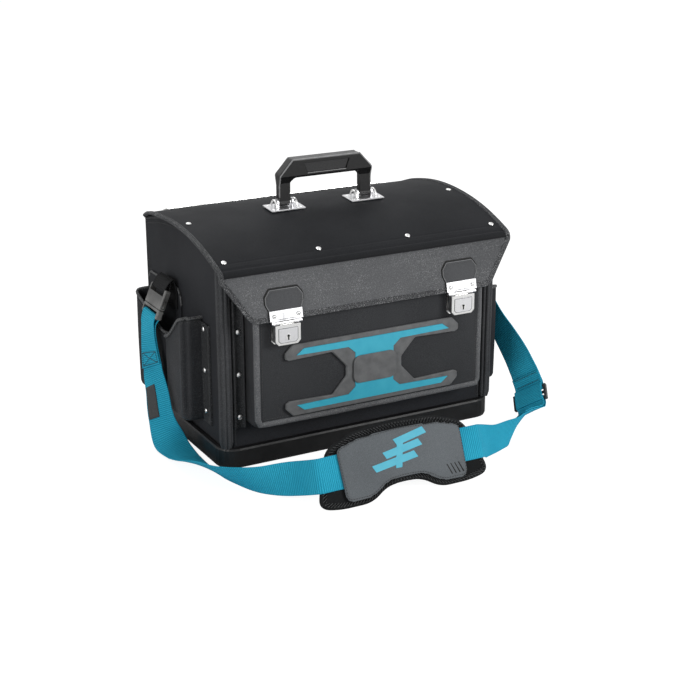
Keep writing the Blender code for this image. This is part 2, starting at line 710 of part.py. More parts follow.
def add_riveted_bar(name, place, half_size, rivets, hosts):
    """A backing bar behind the hosts, with rivets of (x, y, reach) through holes in them.

    The bar's outer face is the XY plane of its frame, and reach is the face under the heads.
    """
    half_x, half_y = half_size
    bar = add(name, box_mesh(name, (-half_x, -half_y, -RIVET_BAR_THICKNESS), (half_x, half_y, 0)),
              NICKEL, place)
    for index, (x, y, reach) in enumerate(rivets):
        base = reach + SEAT_GAP
        crown = base + RIVET_HEIGHT
        root = -RIVET_BAR_THICKNESS / 2
        profile = [(0.0, crown), (RIVET_RADIUS / 2, base + RIVET_HEIGHT * 7 / 8),
                   (RIVET_RADIUS * 7 / 8, base + RIVET_HEIGHT / 2), (RIVET_RADIUS, base + RIVET_HEIGHT / 8),
                   (RIVET_RADIUS, base), (RIVET_POST_RADIUS, base), (RIVET_POST_RADIUS, root), (0.0, root)]
        spot = place @ Matrix.Translation((x, y, 0))
        tag = "%s_%d" % (name, index)
        combine(bar, cutter(turned_mesh(tag, profile), spot), "UNION")
        hole = cutter(rod_mesh(tag + "_hole", (0, 0, -RIVET_BAR_THICKNESS), (0, 0, crown),
                               RIVET_POST_RADIUS + SEAT_GAP, 14), spot)
        for host in hosts:
            combine(host, hole)
    shade_round(bar)
    return bar


def build_lid_bars(lid, handles):
    """The bar under the handle plates with two end rivets, and the fold's bar with four."""
    fold_y = LID_FOLD_START + LID_RIVET_FRONT_SETBACK
    for name, y, shares in (("lid_handle_bar", HANDLE_Y, (-1, 1)),
                            ("lid_front_bar", fold_y, (-1, -1 / 3, 1 / 3, 1))):
        place = lid_frame(LID_HALF_WIDTH, y) @ Matrix.Translation((-LID_HALF_WIDTH, 0,
                                                                   -LID_THICKNESS - SEAT_GAP))
        rivets = []
        for share in shares:
            x = share * LID_RIVET_REACH
            rivets.append((x, 0, LID_THICKNESS + SEAT_GAP + lid_crown(x, y)))
        half_size = (LID_RIVET_REACH + RIVET_BAR_WIDTH / 2, RIVET_BAR_WIDTH / 2)
        handles["lid"].append(add_riveted_bar(name, place, half_size, rivets, [lid]))


def build_front_pocket():
    """The deep front pocket: an open-topped box sewn to the front panel, under the flap."""
    half = POCKET_WIDTH / 2
    back = BODY_FRONT - SEAT_GAP
    pocket = add("front_pocket", box_mesh("front_pocket", (-half, POCKET_FACE, POCKET_BOTTOM),
                                          (half, back, POCKET_TOP)), BODY_CLOTH)
    round_edges(pocket, POCKET_EDGE_RADIUS / 2)
    combine(pocket, cutter(box_mesh("pocket_hollow",
                                    (-half + POCKET_WALL, POCKET_FACE + POCKET_WALL,
                                     POCKET_BOTTOM + POCKET_WALL),
                                    (half - POCKET_WALL, back - POCKET_WALL, POCKET_TOP + OVERRUN))))
    combine(pocket, cutter(box_mesh("pocket_mouth",
                                    (-half - OVERRUN, POCKET_FACE - OVERRUN, POCKET_TOP - POCKET_WALL),
                                    (half + OVERRUN, back + OVERRUN, POCKET_TOP + OVERRUN))))
    shade_round(pocket)


def strip_rivets(lowest, pitch, reach):
    """Three rivets about the middle one, and the half length of the bar behind them."""
    return [(step * pitch, reach) for step in (-1, 0, 1)], pitch + RIVET_BAR_MARGIN, lowest + pitch


def build_front_strips():
    """A leather strip with three rivets on each side of the pocket."""
    inner = POCKET_WIDTH / 2 + 2 * SEAT_GAP
    face = BODY_FRONT - SEAT_GAP
    body = bpy.data.objects["body_shell"]
    reach = 2 * SEAT_GAP + BODY_WALL + STRIP_THICKNESS
    offsets, half_length, middle = strip_rivets(STRIP_RIVET_LOWEST, STRIP_RIVET_PITCH, reach)
    for side, name in ((-1, "left"), (1, "right")):
        low, high = sorted((side * inner, side * (inner + STRIP_WIDTH)))
        strip = add("front_strip_" + name,
                    box_mesh("front_strip_" + name, (low, face - STRIP_THICKNESS, STRIP_BOTTOM),
                             (high, face, STRIP_TOP)), BODY_CLOTH)
        round_edges(strip, STRIP_THICKNESS / 3)
        place = Matrix.Translation(((low + high) / 2, BODY_FRONT + BODY_WALL + SEAT_GAP, middle))
        rivets = [(0, offset, face_reach) for offset, face_reach in offsets]
        add_riveted_bar("front_rivets_" + name, place @ FACING_FRONT, (RIVET_BAR_WIDTH / 2, half_length),
                        rivets, [body, strip])


def holster_rim(y):
    """The holster's rim falls from its rear corner towards the tube pocket."""
    share = (BODY_BACK - HOLSTER_REAR_INSET - y) / HOLSTER_WIDTH
    return HOLSTER_RIM_HIGH + (HOLSTER_RIM_LOW - HOLSTER_RIM_HIGH) * share


def build_side_pockets(name, turn):
    """The holster, the tube pocket beside it and the riveted strip that holds the tube's edge."""
    panel = -BODY_WIDTH / 2 - SEAT_GAP
    rear = BODY_BACK - HOLSTER_REAR_INSET
    front = rear - HOLSTER_WIDTH
    outer = panel - HOLSTER_REACH
    centre_y = (rear + front) / 2
    half = HOLSTER_WIDTH / 2

    def shell_outline(inset):
        left = outer + inset
        right = panel - inset
        radius = HOLSTER_CORNER - inset
        low = centre_y - half + inset
        high = centre_y + half - inset
        return ([(right, low), (right, high)]
                + arc_points((left + radius, high - radius), radius, 90, 180, 4)
                + arc_points((left + radius, low + radius), radius, 180, 270, 4))

    holster = add(name + "_holster_pocket",
                  prism_mesh(name + "_holster", shell_outline(0), HOLSTER_BOTTOM, HOLSTER_BACK_TOP),
                  BODY_CLOTH, turn)
    hollow = prism_mesh(name + "_holster_hollow", shell_outline(SIDE_POCKET_WALL),
                        HOLSTER_BOTTOM + SIDE_POCKET_WALL, HOLSTER_BACK_TOP + OVERRUN)
    combine(holster, cutter(hollow, turn))
    rim = [(front - OVERRUN, holster_rim(front - OVERRUN)), (rear + OVERRUN, holster_rim(rear + OVERRUN)),
           (rear + OVERRUN, HOLSTER_BACK_TOP + OVERRUN), (front - OVERRUN, HOLSTER_BACK_TOP + OVERRUN)]
    rim_cut = prism_mesh(name + "_holster_rim", rim, outer - OVERRUN, panel - SIDE_POCKET_WALL, ALONG_X)
    combine(holster, cutter(rim_cut, turn))
    shade_round(holster)

    tube_rear = front - SIDE_POCKET_SPACING
    tube_y = tube_rear - TUBE_WIDTH / 2

    def tube_outline(inset):
        front_edge = tube_y - TUBE_WIDTH / 2 + inset
        rear_edge = tube_rear - inset
        deep = panel - TUBE_REACH + inset
        rear_round = TUBE_FRONT_ROUND / 2 - inset
        front_round = TUBE_FRONT_ROUND - inset
        return ([(panel - inset, front_edge), (panel - inset, rear_edge)]
                + arc_points((deep + rear_round, rear_edge - rear_round), rear_round, 90, 180, 4)
                + arc_points((deep + front_round, front_edge + front_round), front_round, 180, 270, 8))

    tube = add(name + "_tube_pocket",
               prism_mesh(name + "_tube", tube_outline(0), TUBE_BOTTOM, TUBE_RIM_HIGH), BODY_CLOTH, turn)
    hollow = prism_mesh(name + "_tube_hollow", tube_outline(SIDE_POCKET_WALL),
                        TUBE_BOTTOM + SIDE_POCKET_WALL, TUBE_RIM_HIGH + OVERRUN)
    combine(tube, cutter(hollow, turn))
    steps = 8
    curve = []
    for step in range(steps + 1):
        share = step / steps
        ease = (1 - math.cos(math.pi * share)) / 2
        curve.append((tube_rear - TUBE_WIDTH * share,
                      HOLSTER_RIM_LOW + (TUBE_RIM_HIGH - HOLSTER_RIM_LOW) * ease))
    rim = ([(tube_rear + OVERRUN, TUBE_RIM_HIGH + OVERRUN)] + [(tube_rear + OVERRUN, HOLSTER_RIM_LOW)]
           + curve + [(curve[-1][0], TUBE_RIM_HIGH + OVERRUN)])
    rim_cut = prism_mesh(name + "_tube_rim", rim, outer - TUBE_REACH, panel + OVERRUN, ALONG_X)
    combine(tube, cutter(rim_cut, turn))
    shade_round(tube)

    strip_rear = tube_y - TUBE_WIDTH / 2 - SEAT_GAP
    strip = add(name + "_pocket_strip",
                box_mesh(name + "_pocket_strip",
                         (panel - SIDE_STRIP_THICKNESS, strip_rear - SIDE_STRIP_WIDTH, TUBE_BOTTOM),
                         (panel, strip_rear, SIDE_STRIP_TOP)), BODY_CLOTH, turn)
    round_edges(strip, SIDE_STRIP_THICKNESS / 3)
    reach = 2 * SEAT_GAP + BODY_WALL + SIDE_STRIP_THICKNESS
    offsets, half_length, middle = strip_rivets(SIDE_RIVET_LOWEST, SIDE_RIVET_PITCH, reach)
    facing_out = Matrix.Rotation(math.radians(-90), 4, "Y")
    place = Matrix.Translation((-BODY_WIDTH / 2 + BODY_WALL + SEAT_GAP,
                                strip_rear - SIDE_STRIP_WIDTH / 3, middle))
    rivets = [(offset, 0, face_reach) for offset, face_reach in offsets]
    add_riveted_bar(name + "_side_rivets", turn @ place @ facing_out, (half_length, RIVET_BAR_WIDTH / 2),
                    rivets, [bpy.data.objects["body_shell"], strip])


LOCK_PIVOT_Y = flap_point(FLAP_LENGTH)[0] - 2 * SEAT_GAP - TAB_THICKNESS - STRIKE_THICKNESS / 2
LOCK_PIVOT_Z = flap_point(FLAP_LENGTH)[1] - LOCK_KNUCKLE_RADIUS - SEAT_GAP
COVER_TOP = LOCK_PIVOT_Z - LOCK_KNUCKLE_RADIUS - SEAT_GAP
COVER_BOTTOM = COVER_TOP - COVER_HEIGHT
COVER_FACE = LOCK_PIVOT_Y - COVER_DEPTH / 2


def plate_outline(half_width, low, high, chamfer):
    """A plate with its two lower corners cut off."""
    return [(-half_width + chamfer, low), (half_width - chamfer, low), (half_width, low + chamfer),
            (half_width, high), (-half_width, high), (-half_width, low + chamfer)]


def build_lock(name, side, handles):
    """One lock: tab, strike and hinged cover on the flap, base plate on the pocket."""
    x = side * LOCK_SPACING / 2
    strike_low = FLAP_LENGTH
    on_flap = flap_frame(x, strike_low)
    half_tab = TAB_WIDTH / 2
    half_strike = STRIKE_WIDTH / 2
    half_foot = half_strike - STRIKE_THICKNESS
    tab_outline = [(-half_foot, 0), (half_foot, 0), (half_foot, STRIKE_HEIGHT),
                   (half_tab, TAB_HEIGHT * 5 / 9), (half_tab, TAB_HEIGHT * 7 / 9),
                   (half_tab * 3 / 4, TAB_HEIGHT), (-half_tab * 3 / 4, TAB_HEIGHT),
                   (-half_tab, TAB_HEIGHT * 7 / 9), (-half_tab, TAB_HEIGHT * 5 / 9),
                   (-half_foot, STRIKE_HEIGHT)]
    tab = add(name + "_lock_tab", prism_mesh(name + "_tab", tab_outline, SEAT_GAP,
                                             SEAT_GAP + TAB_THICKNESS), LID_CLOTH, on_flap)
    round_edges(tab, TAB_THICKNESS / 3)

    strike_base = 2 * SEAT_GAP + TAB_THICKNESS
    strike = add(name + "_lock_strike",
                 box_mesh(name + "_strike", (-half_strike, 0, strike_base),
                          (half_strike, STRIKE_HEIGHT, strike_base + STRIKE_THICKNESS)), NICKEL, on_flap)
    pivot = Vector((x, LOCK_PIVOT_Y, LOCK_PIVOT_Z))
    middle = LOCK_KNUCKLE_MIDDLE / 2
    web_half = STRIKE_THICKNESS / 4
    for end in (-1, 1):
        low, high = sorted((end * (middle + RUN_GAP), end * LOCK_KNUCKLE_SPREAD))
        knuckle = rod_mesh("%s_strike_knuckle_%d" % (name, end), pivot + Vector((low, 0, 0)),
                           pivot + Vector((high, 0, 0)), LOCK_KNUCKLE_RADIUS)
        combine(strike, cutter(knuckle), "UNION")
        web = box_mesh("%s_strike_web_%d" % (name, end),
                       (x + low + RUN_GAP, LOCK_PIVOT_Y - web_half, LOCK_PIVOT_Z),
                       (x + high - RUN_GAP, LOCK_PIVOT_Y + web_half,
                        LOCK_PIVOT_Z + LOCK_KNUCKLE_RADIUS + STRIKE_THICKNESS))
        combine(strike, cutter(web), "UNION")
    bore = cutter(rod_mesh(name + "_lock_bore", pivot - Vector((half_strike, 0, 0)),
                           pivot + Vector((half_strike, 0, 0)), LOCK_PIN_RADIUS + SEAT_GAP, 14))
    combine(strike, bore)
    pin = add(name + "_lock_pin",
              rod_mesh(name + "_lock_pin", pivot - Vector((LOCK_KNUCKLE_SPREAD, 0, 0)),
                       pivot + Vector((LOCK_KNUCKLE_SPREAD, 0, 0)), LOCK_PIN_RADIUS, 12), NICKEL)
    shade_round(pin)
    handles["lid"] += [tab, strike, pin]

    half_cover = COVER_WIDTH / 2
    out_facing = Matrix.Translation((x, 0, 0)) @ FACING_FRONT
    outer = plate_outline(half_cover, COVER_BOTTOM, COVER_TOP, COVER_CHAMFER)
    inner = plate_outline(half_cover - COVER_SHEET, COVER_BOTTOM + COVER_SHEET, COVER_TOP - COVER_SHEET,
                          COVER_CHAMFER - COVER_SHEET / 2)
    cover = add(name + "_lock_cover", prism_mesh(name + "_cover", outer, -COVER_FACE - COVER_DEPTH,
                                                 -COVER_FACE, out_facing), NICKEL)
    round_edges(cover, COVER_SHEET / 3, 1)
    combine(cover, cutter(prism_mesh(name + "_cover_hollow", inner, -COVER_FACE - COVER_DEPTH - OVERRUN,
                                     -COVER_FACE - COVER_SHEET, out_facing)))
    knuckle = rod_mesh(name + "_cover_knuckle", pivot - Vector((middle, 0, 0)),
                       pivot + Vector((middle, 0, 0)), LOCK_KNUCKLE_RADIUS)
    combine(cover, cutter(knuckle), "UNION")
    web = box_mesh(name + "_cover_web",
                   (x - middle + RUN_GAP, LOCK_PIVOT_Y - web_half, COVER_TOP - COVER_SHEET / 2),
                   (x + middle - RUN_GAP, LOCK_PIVOT_Y + web_half, LOCK_PIVOT_Z))
    combine(cover, cutter(web), "UNION")
    combine(cover, bore)
    key_z = COVER_BOTTOM + CYLINDER_RISE
    axis = Vector((x, COVER_FACE, key_z))
    into = Vector((0, OVERRUN, 0))
    combine(cover, cutter(rod_mesh(name + "_cylinder_seat", axis - into, axis + into,
                                   CYLINDER_RADIUS + SEAT_GAP, 24)))
    shade_round(cover)
    handles[name + "_cover"] = [cover]

    front = axis - Vector((0, COVER_SHEET / 2, 0))
    cylinder = add(name + "_lock_cylinder",
                   rod_mesh(name + "_cylinder", front, front + Vector((0, CYLINDER_LENGTH, 0)),
                            CYLINDER_RADIUS, 24), NICKEL)
    depth = Vector((0, KEYHOLE_DEPTH, 0))
    combine(cylinder, cutter(rod_mesh(name + "_keyhole", front - depth, front + depth,
                                      KEYHOLE_RADIUS, 12)))
    slot = box_mesh(name + "_key_slot", front - depth - Vector((KEYHOLE_SLOT_WIDTH / 2, 0,
                                                               KEYHOLE_SLOT_LENGTH * 3 / 4)),
                    front + depth + Vector((KEYHOLE_SLOT_WIDTH / 2, 0, 0)))
    combine(cylinder, cutter(slot))
    shade_round(cylinder)
    handles[name + "_cylinder"] = [cylinder]

    base_outer = plate_outline(half_cover, COVER_BOTTOM - COVER_SHEET, COVER_TOP, COVER_CHAMFER)
    base_back = -POCKET_FACE + SEAT_GAP
    base = add(name + "_lock_base", prism_mesh(name + "_base", base_outer, base_back,
                                               base_back + COVER_SHEET, out_facing), NICKEL)
    catch_z = (COVER_TOP + COVER_BOTTOM) / 2
    catch = box_mesh(name + "_catch", (x - CATCH_WIDTH / 2, POCKET_FACE - COVER_SHEET - CATCH_DEPTH,
                                       catch_z - CATCH_HEIGHT / 2),
                     (x + CATCH_WIDTH / 2, POCKET_FACE - 2 * SEAT_GAP, catch_z + CATCH_HEIGHT / 2))
    combine(base, cutter(catch), "UNION")


HANDLE_Y = BODY_FRONT + HANDLE_SETBACK
HANDLE_PLATE_X = HANDLE_SPACING / 2


def handle_plate_frame(side):
    """A frame on the lid where one handle plate sits."""
    return lid_frame(side * HANDLE_PLATE_X, HANDLE_Y) @ Matrix.Translation((0, 0, PLATE_LIFT))


HANDLE_PIVOT_Z = handle_plate_frame(1).translation.z + PLATE_THICKNESS + HANDLE_PIVOT_RISE


def build_handle(handles):
    """The folding handle: two eared plates, their pins and the moulded grip."""
    barrel = HANDLE_LEG_WIDTH / 2
    for side, name in ((-1, "left"), (1, "right")):
        place = handle_plate_frame(side)
        x = side * HANDLE_PLATE_X
        plate = add("handle_plate_" + name,
                    box_mesh("handle_plate_" + name, (-PLATE_LENGTH / 2, -PLATE_WIDTH / 2, 0),
                             (PLATE_LENGTH / 2, PLATE_WIDTH / 2, PLATE_THICKNESS)), NICKEL, place)
        round_edges(plate, PLATE_THICKNESS / 4, 1)
        pivot = Vector((x, HANDLE_Y, HANDLE_PIVOT_Z))
        for end in (-1, 1):
            near = end * (barrel + RUN_GAP)
            far = end * (barrel + RUN_GAP + EAR_THICKNESS)
            ear = rod_mesh("ear_%s_%d" % (name, end), pivot + Vector((near, 0, 0)),
                           pivot + Vector((far, 0, 0)), EAR_RADIUS)
            combine(plate, cutter(ear), "UNION")
            low, high = sorted((near, far))
            foot = box_mesh("ear_foot_%s_%d" % (name, end),
                            (x + low, HANDLE_Y - EAR_FOOT_REACH, HANDLE_PIVOT_Z - HANDLE_PIVOT_RISE
                             - PLATE_THICKNESS / 2),
                            (x + high, HANDLE_Y + EAR_FOOT_REACH, HANDLE_PIVOT_Z))
            combine(plate, cutter(foot), "UNION")
        reach = barrel + RUN_GAP + EAR_THICKNESS
        combine(plate, cutter(rod_mesh("ear_bore_" + name, pivot - Vector((reach + OVERRUN, 0, 0)),
                                       pivot + Vector((reach + OVERRUN, 0, 0)),
                                       HANDLE_PIN_RADIUS + SEAT_GAP)))
        shade_round(plate)
        pin = add("handle_pin_" + name,
                  rod_mesh("handle_pin_" + name, pivot - Vector((reach + RUN_GAP, 0, 0)),
                           pivot + Vector((reach + RUN_GAP, 0, 0)), HANDLE_PIN_RADIUS), NICKEL)
        shade_round(pin)
        handles["lid"] += [plate, pin]

    outer_x = HANDLE_PLATE_X + barrel
    inner_x = HANDLE_PLATE_X - barrel
    top = HANDLE_RISE
    under = HANDLE_RISE - HANDLE_GRIP_HEIGHT
    half = [(inner_x - HANDLE_SHOULDER / 3, under), (inner_x, under - HANDLE_SHOULDER / 3), (inner_x, 0),
            (outer_x, 0), (outer_x, top - HANDLE_SHOULDER), (outer_x - HANDLE_SHOULDER, top)]
    outline = half + [(-across, up) for across, up in reversed(half)]
    place = Matrix.Translation((0, HANDLE_Y, HANDLE_PIVOT_Z))
    grip = add("handle_grip",
               prism_mesh("handle_grip", outline, -HANDLE_GRIP_THICKNESS / 2, HANDLE_GRIP_THICKNESS / 2,
                          FACING_FRONT), GRIP_PLASTIC, place)
    round_edges(grip, HANDLE_EDGE_ROUND)
    for end in (-1, 1):
        near = end * HANDLE_LEG_THICKNESS / 2
        far = end * HANDLE_GRIP_THICKNESS
        top_near = end * HANDLE_GRIP_THICKNESS / 2
        slope = [(near, -OVERRUN), (far, -OVERRUN), (far, HANDLE_LEG_HEIGHT + HANDLE_SHOULDER / 2),
                 (top_near, HANDLE_LEG_HEIGHT + HANDLE_SHOULDER / 2), (near, HANDLE_LEG_HEIGHT)]
        wedge = prism_mesh("leg_cut_%d" % end, slope, -outer_x - OVERRUN, outer_x + OVERRUN, ALONG_X)
        combine(grip, cutter(wedge, place))
    for side in (-1, 1):
        centre = Vector((side * HANDLE_PLATE_X, 0, 0))
        half_foot = Vector((barrel - RUN_GAP, 0, 0))
        combine(grip, cutter(rod_mesh("foot_barrel_%d" % side, centre - half_foot, centre + half_foot,
                                      HANDLE_FOOT_RADIUS), place), "UNION")
    reach = Vector((outer_x + OVERRUN, 0, 0))
    combine(grip, cutter(rod_mesh("foot_bore", -reach, reach, HANDLE_PIN_RADIUS + SEAT_GAP), place))
    shade_round(grip)
    handles["handle"] = [grip]


def build_brace():
    """The moulded brace on the pocket: two bars and a middle block, with blue inlays."""
    face = -POCKET_FACE + SEAT_GAP
    place = Matrix.Translation((0, 0, BRACE_CENTRE)) @ FACING_FRONT
    half_width = BRACE_WIDTH / 2
    half_height = BRACE_HEIGHT / 2
    bar = half_height - BRACE_BAR_HEIGHT
    block = BRACE_BLOCK_WIDTH / 2
    cut = BRACE_BAR_HEIGHT / 2
    half = [(half_width - cut, -half_height), (half_width, -half_height + cut), (half_width, -bar - cut / 4),
            (half_width - cut / 2, -bar), (block + 2 * cut, -bar - cut / 6), (block, -bar + 2 * cut),
            (block, bar - 2 * cut), (block + 2 * cut, bar + cut / 6), (half_width - cut / 2, bar),
            (half_width, bar + cut / 4), (half_width, half_height - cut), (half_width - cut, half_height)]
    brace = add("front_brace", prism_mesh("front_brace", mirrored(half), face, face + BRACE_THICKNESS),
                GREY_RUBBER, place)
    round_edges(brace, BRACE_THICKNESS / 4, 1)
    floor = face + BRACE_THICKNESS - BRACE_GROOVE_DEPTH
    arm_start = block - cut
    arm_end = half_width - 2 * cut
    level = half_height - BRACE_BAR_HEIGHT / 2

    def arms(margin):
        """The inlay's outline: two long arms, joined down the middle block."""
        half_arm = INLAY_HEIGHT / 2 + margin
        half_root = half_arm + cut / 8
        spine = arm_start + INLAY_HEIGHT - cut + margin
        right = [(spine - margin, -level - half_arm), (arm_end - cut / 2 + margin, -level - half_arm),
                 (arm_end + cut / 2 + 3 * margin, -level + half_arm), (spine + cut, -level + half_root),
                 (spine, -level + half_arm + cut), (spine, level - half_arm - cut),
                 (spine + cut, level - half_root), (arm_end + cut / 2 + 3 * margin, level - half_arm),
                 (arm_end - cut / 2 + margin, level + half_arm), (spine - margin, level + half_arm)]
        return mirrored(right)

    combine(brace, cutter(prism_mesh("inlay_seat", arms(SEAT_GAP), floor, floor + OVERRUN), place))
    add("brace_inlay", prism_mesh("brace_inlay", arms(0), floor + SEAT_GAP,
                                  floor + SEAT_GAP + INLAY_THICKNESS), BLUE_TRIM, place)
    badge_outline = rounded_rectangle(BADGE_WIDTH / 2, BADGE_HEIGHT / 2, BADGE_HEIGHT / 4)
    badge_base = floor + 2 * SEAT_GAP + INLAY_THICKNESS
    badge = add("brace_badge", prism_mesh("brace_badge", badge_outline, badge_base,
                                          badge_base + INLAY_THICKNESS), GREY_RUBBER, place)
    round_edges(badge, INLAY_THICKNESS / 4, 1)


def frame_at(origin, across, along):
    """A frame for webbing: X across it, Y along it and Z out of its face."""
    x = Vector(across).normalized()
    z = x.cross(Vector(along)).normalized()
    y = z.cross(x)
    made = Matrix((x, y, z)).transposed().to_4x4()
    made.translation = Vector(origin)
    return made


def ribbon_mesh(name, stations):
    """Webbing along stations of (centre, across), an open strip thickened both ways."""
    def lay(work):
        bmesh.ops.create_grid(work, x_segments=1, y_segments=len(stations) - 1, size=1.0)
        for vertex in work.verts:
            centre, across = stations[round((vertex.co.y + 1) / 2 * (len(stations) - 1))]
            vertex.co = centre + across * (vertex.co.x * WEB_WIDTH / 2)
    return mesh_from(name, lay)


def add_ribbon(name, stations, material):
    """A webbing node with its real thickness."""
    web = add(name, ribbon_mesh(name, stations), material)
    thick = web.modifiers.new("thickness", "SOLIDIFY")
    thick.thickness = WEB_THICKNESS
    thick.offset = 0
    thick.use_even_offset = True
    return web


def webbing_path(route, loop_start, loop_end, sewn=WEB_SEWN_LENGTH):
    """Stations of a strap along a route of (centre, across), doubled back round a bar at an end.

    The two plies part near the bar, so that they pass on either side of it.
    """
    path = smooth_route(route, WEB_STATION_PITCH)
    centres = [centre for centre, across in path]
    widths = [across for centre, across in path]
    tangents = []
    for index in range(len(centres)):
        before = centres[max(index - 1, 0)]
        after = centres[min(index + 1, len(centres) - 1)]
        tangents.append((after - before).normalized())
    travelled = [0.0]
    for a, b in zip(centres, centres[1:]):
        travelled.append(travelled[-1] + (b - a).length)
    total = travelled[-1]
    round_bar = BAR_RADIUS + BAR_CLEARANCE + WEB_THICKNESS / 2
    rows = []
    for centre, across, tangent, distance in zip(centres, widths, tangents, travelled):
        across = (across - tangent * across.dot(tangent)).normalized()
        lowest = abs(across.z) * WEB_WIDTH / 2 + WEB_THICKNESS + FLOOR_CLEARANCE
        centre = Vector((centre.x, centre.y, max(centre.z, lowest)))
        normal = across.cross(tangent).normalized()
        to_bar = min(distance if loop_start else total, total - distance if loop_end else total)
        past_sewing = min(1.0, max(0.0, (to_bar - sewn) / WEB_STATION_PITCH))
        offset = max(WEB_PLY_SPACING / 2 * (1 - past_sewing), round_bar - to_bar * PLY_PARTING_SHARE)
        rows.append((centre, across, tangent, normal, offset, distance))
    stations = [(centre + normal * offset, across) for centre, across, t, normal, offset, d in rows]

    def turn(row, outward):
        centre, across, tangent, normal = row[:4]
        made = []
        for angle in (45, 90, 135):
            turned = math.radians(angle)
            made.append((centre + outward * tangent * round_bar * math.sin(turned)
                         + normal * round_bar * math.cos(turned), across))
        return made

    if loop_start:
        back = [(centre - normal * offset, across) for centre, across, t, normal, offset, d in rows
                if d < sewn]
        stations = back[::-1] + turn(rows[0], -1)[::-1] + stations
    if loop_end:
        back = [(centre - normal * offset, across) for centre, across, t, normal, offset, d in rows
                if total - d < sewn]
        stations = stations + turn(rows[-1], 1) + back[::-1]
    return stations


def buckle_frame(turn):
    """The left buckle hangs outside the holster, leaning out at its foot; turn gives the right one."""
    panel = -BODY_WIDTH / 2 - SEAT_GAP
    origin = (panel - ANCHOR_STAND_OFF, ANCHOR_OFFSET, ANCHOR_HEIGHT - ANCHOR_DROP)
    along = (-math.sin(BUCKLE_LEAN), 0, -math.cos(BUCKLE_LEAN))
    return turn @ frame_at(origin, (0, 1, 0), along)


PLUG_BAR = SOCKET_LENGTH + RUN_GAP + PLUG_BASE_LENGTH - BAR_RADIUS


def build_buckle(name, turn):
    """A side-release buckle: the socket on the anchor webbing, the plug on the strap."""
    place = buckle_frame(turn)
    half = BUCKLE_WIDTH / 2
    web_half = WEB_WIDTH / 2 + RUN_GAP
    thick = BUCKLE_THICKNESS / 2
    bar_half = BAR_RADIUS
    prong_half = PRONG_THICKNESS / 2
    window_start = 2 * BAR_RADIUS
    socket = add(name + "_buckle_socket",
                 box_mesh(name + "_socket", (-half, 0, -thick), (half, SOCKET_LENGTH, thick)),
                 BUCKLE_PLASTIC, place)
    round_edges(socket, BAR_RADIUS, 2)
    combine(socket, cutter(box_mesh(name + "_socket_window", (-web_half, window_start, -thick - OVERRUN),
                                    (web_half, window_start + BUCKLE_WINDOW, thick + OVERRUN)), place))
    for face in (-1, 1):
        low, high = sorted((face * bar_half, face * (thick + OVERRUN)))
        combine(socket, cutter(box_mesh("%s_socket_bar_%d" % (name, face), (-web_half, -OVERRUN, low),
                                        (web_half, window_start + RUN_GAP, high)), place))
    reach_in = SOCKET_LENGTH - PRONG_LENGTH - RUN_GAP
    channel = half - 2 * PRONG_WIDTH / 3
    combine(socket, cutter(box_mesh(name + "_socket_channel", (-channel, reach_in, -prong_half - RUN_GAP),
                                    (channel, SOCKET_LENGTH + OVERRUN, prong_half + RUN_GAP)), place))
    for side in (-1, 1):
        low, high = sorted((side * (channel - OVERRUN), side * (half + OVERRUN)))
        combine(socket, cutter(box_mesh("%s_socket_side_%d" % (name, side),
                                        (low, reach_in + PRONG_WIDTH / 2, -prong_half - RUN_GAP),
                                        (high, SOCKET_LENGTH - PRONG_WIDTH / 2,
                                         prong_half + RUN_GAP)), place))

    base_start = SOCKET_LENGTH + RUN_GAP
    base_end = base_start + PLUG_BASE_LENGTH
    plug = add(name + "_buckle_plug",
               box_mesh(name + "_plug", (-half, base_start, -thick), (half, base_end, thick)),
               BUCKLE_PLASTIC, place)
    round_edges(plug, BAR_RADIUS, 2)
    bar_start = base_end - 2 * BAR_RADIUS
    combine(plug, cutter(box_mesh(name + "_plug_window", (-web_half, bar_start - BUCKLE_WINDOW,
                                                          -thick - OVERRUN),
                                  (web_half, bar_start, thick + OVERRUN)), place))
    for face in (-1, 1):
        low, high = sorted((face * bar_half, face * (thick + OVERRUN)))
        combine(plug, cutter(box_mesh("%s_plug_bar_%d" % (name, face),
                                      (-web_half, bar_start - RUN_GAP, low),
                                      (web_half, base_end + OVERRUN, high)), place))
    tip = base_start - PRONG_LENGTH
    for side in (-1, 1):
        inner = channel - RUN_GAP - PRONG_WIDTH
        outer = channel - RUN_GAP
        hook = half - RUN_GAP
        shape = [(inner, base_start + BAR_RADIUS), (inner, tip + PRONG_WIDTH),
                 (inner + PRONG_WIDTH / 2, tip), (outer, tip + PRONG_WIDTH / 2),
                 (hook, base_start - PRONG_WIDTH),
                 (hook, base_start - PRONG_WIDTH * 2 / 3), (outer, base_start - PRONG_WIDTH * 2 / 3),
                 (outer, base_start + BAR_RADIUS)]
        shape = shape if side > 0 else [(-across, up) for across, up in reversed(shape)]
        combine(plug, cutter(prism_mesh("%s_prong_%d" % (name, side), shape, -prong_half, prong_half),
                             place), "UNION")
    guide = box_mesh(name + "_guide", (-PRONG_WIDTH / 2, tip, -prong_half),
                     (PRONG_WIDTH / 2, base_start + BAR_RADIUS, prong_half))
    combine(plug, cutter(guide, place), "UNION")


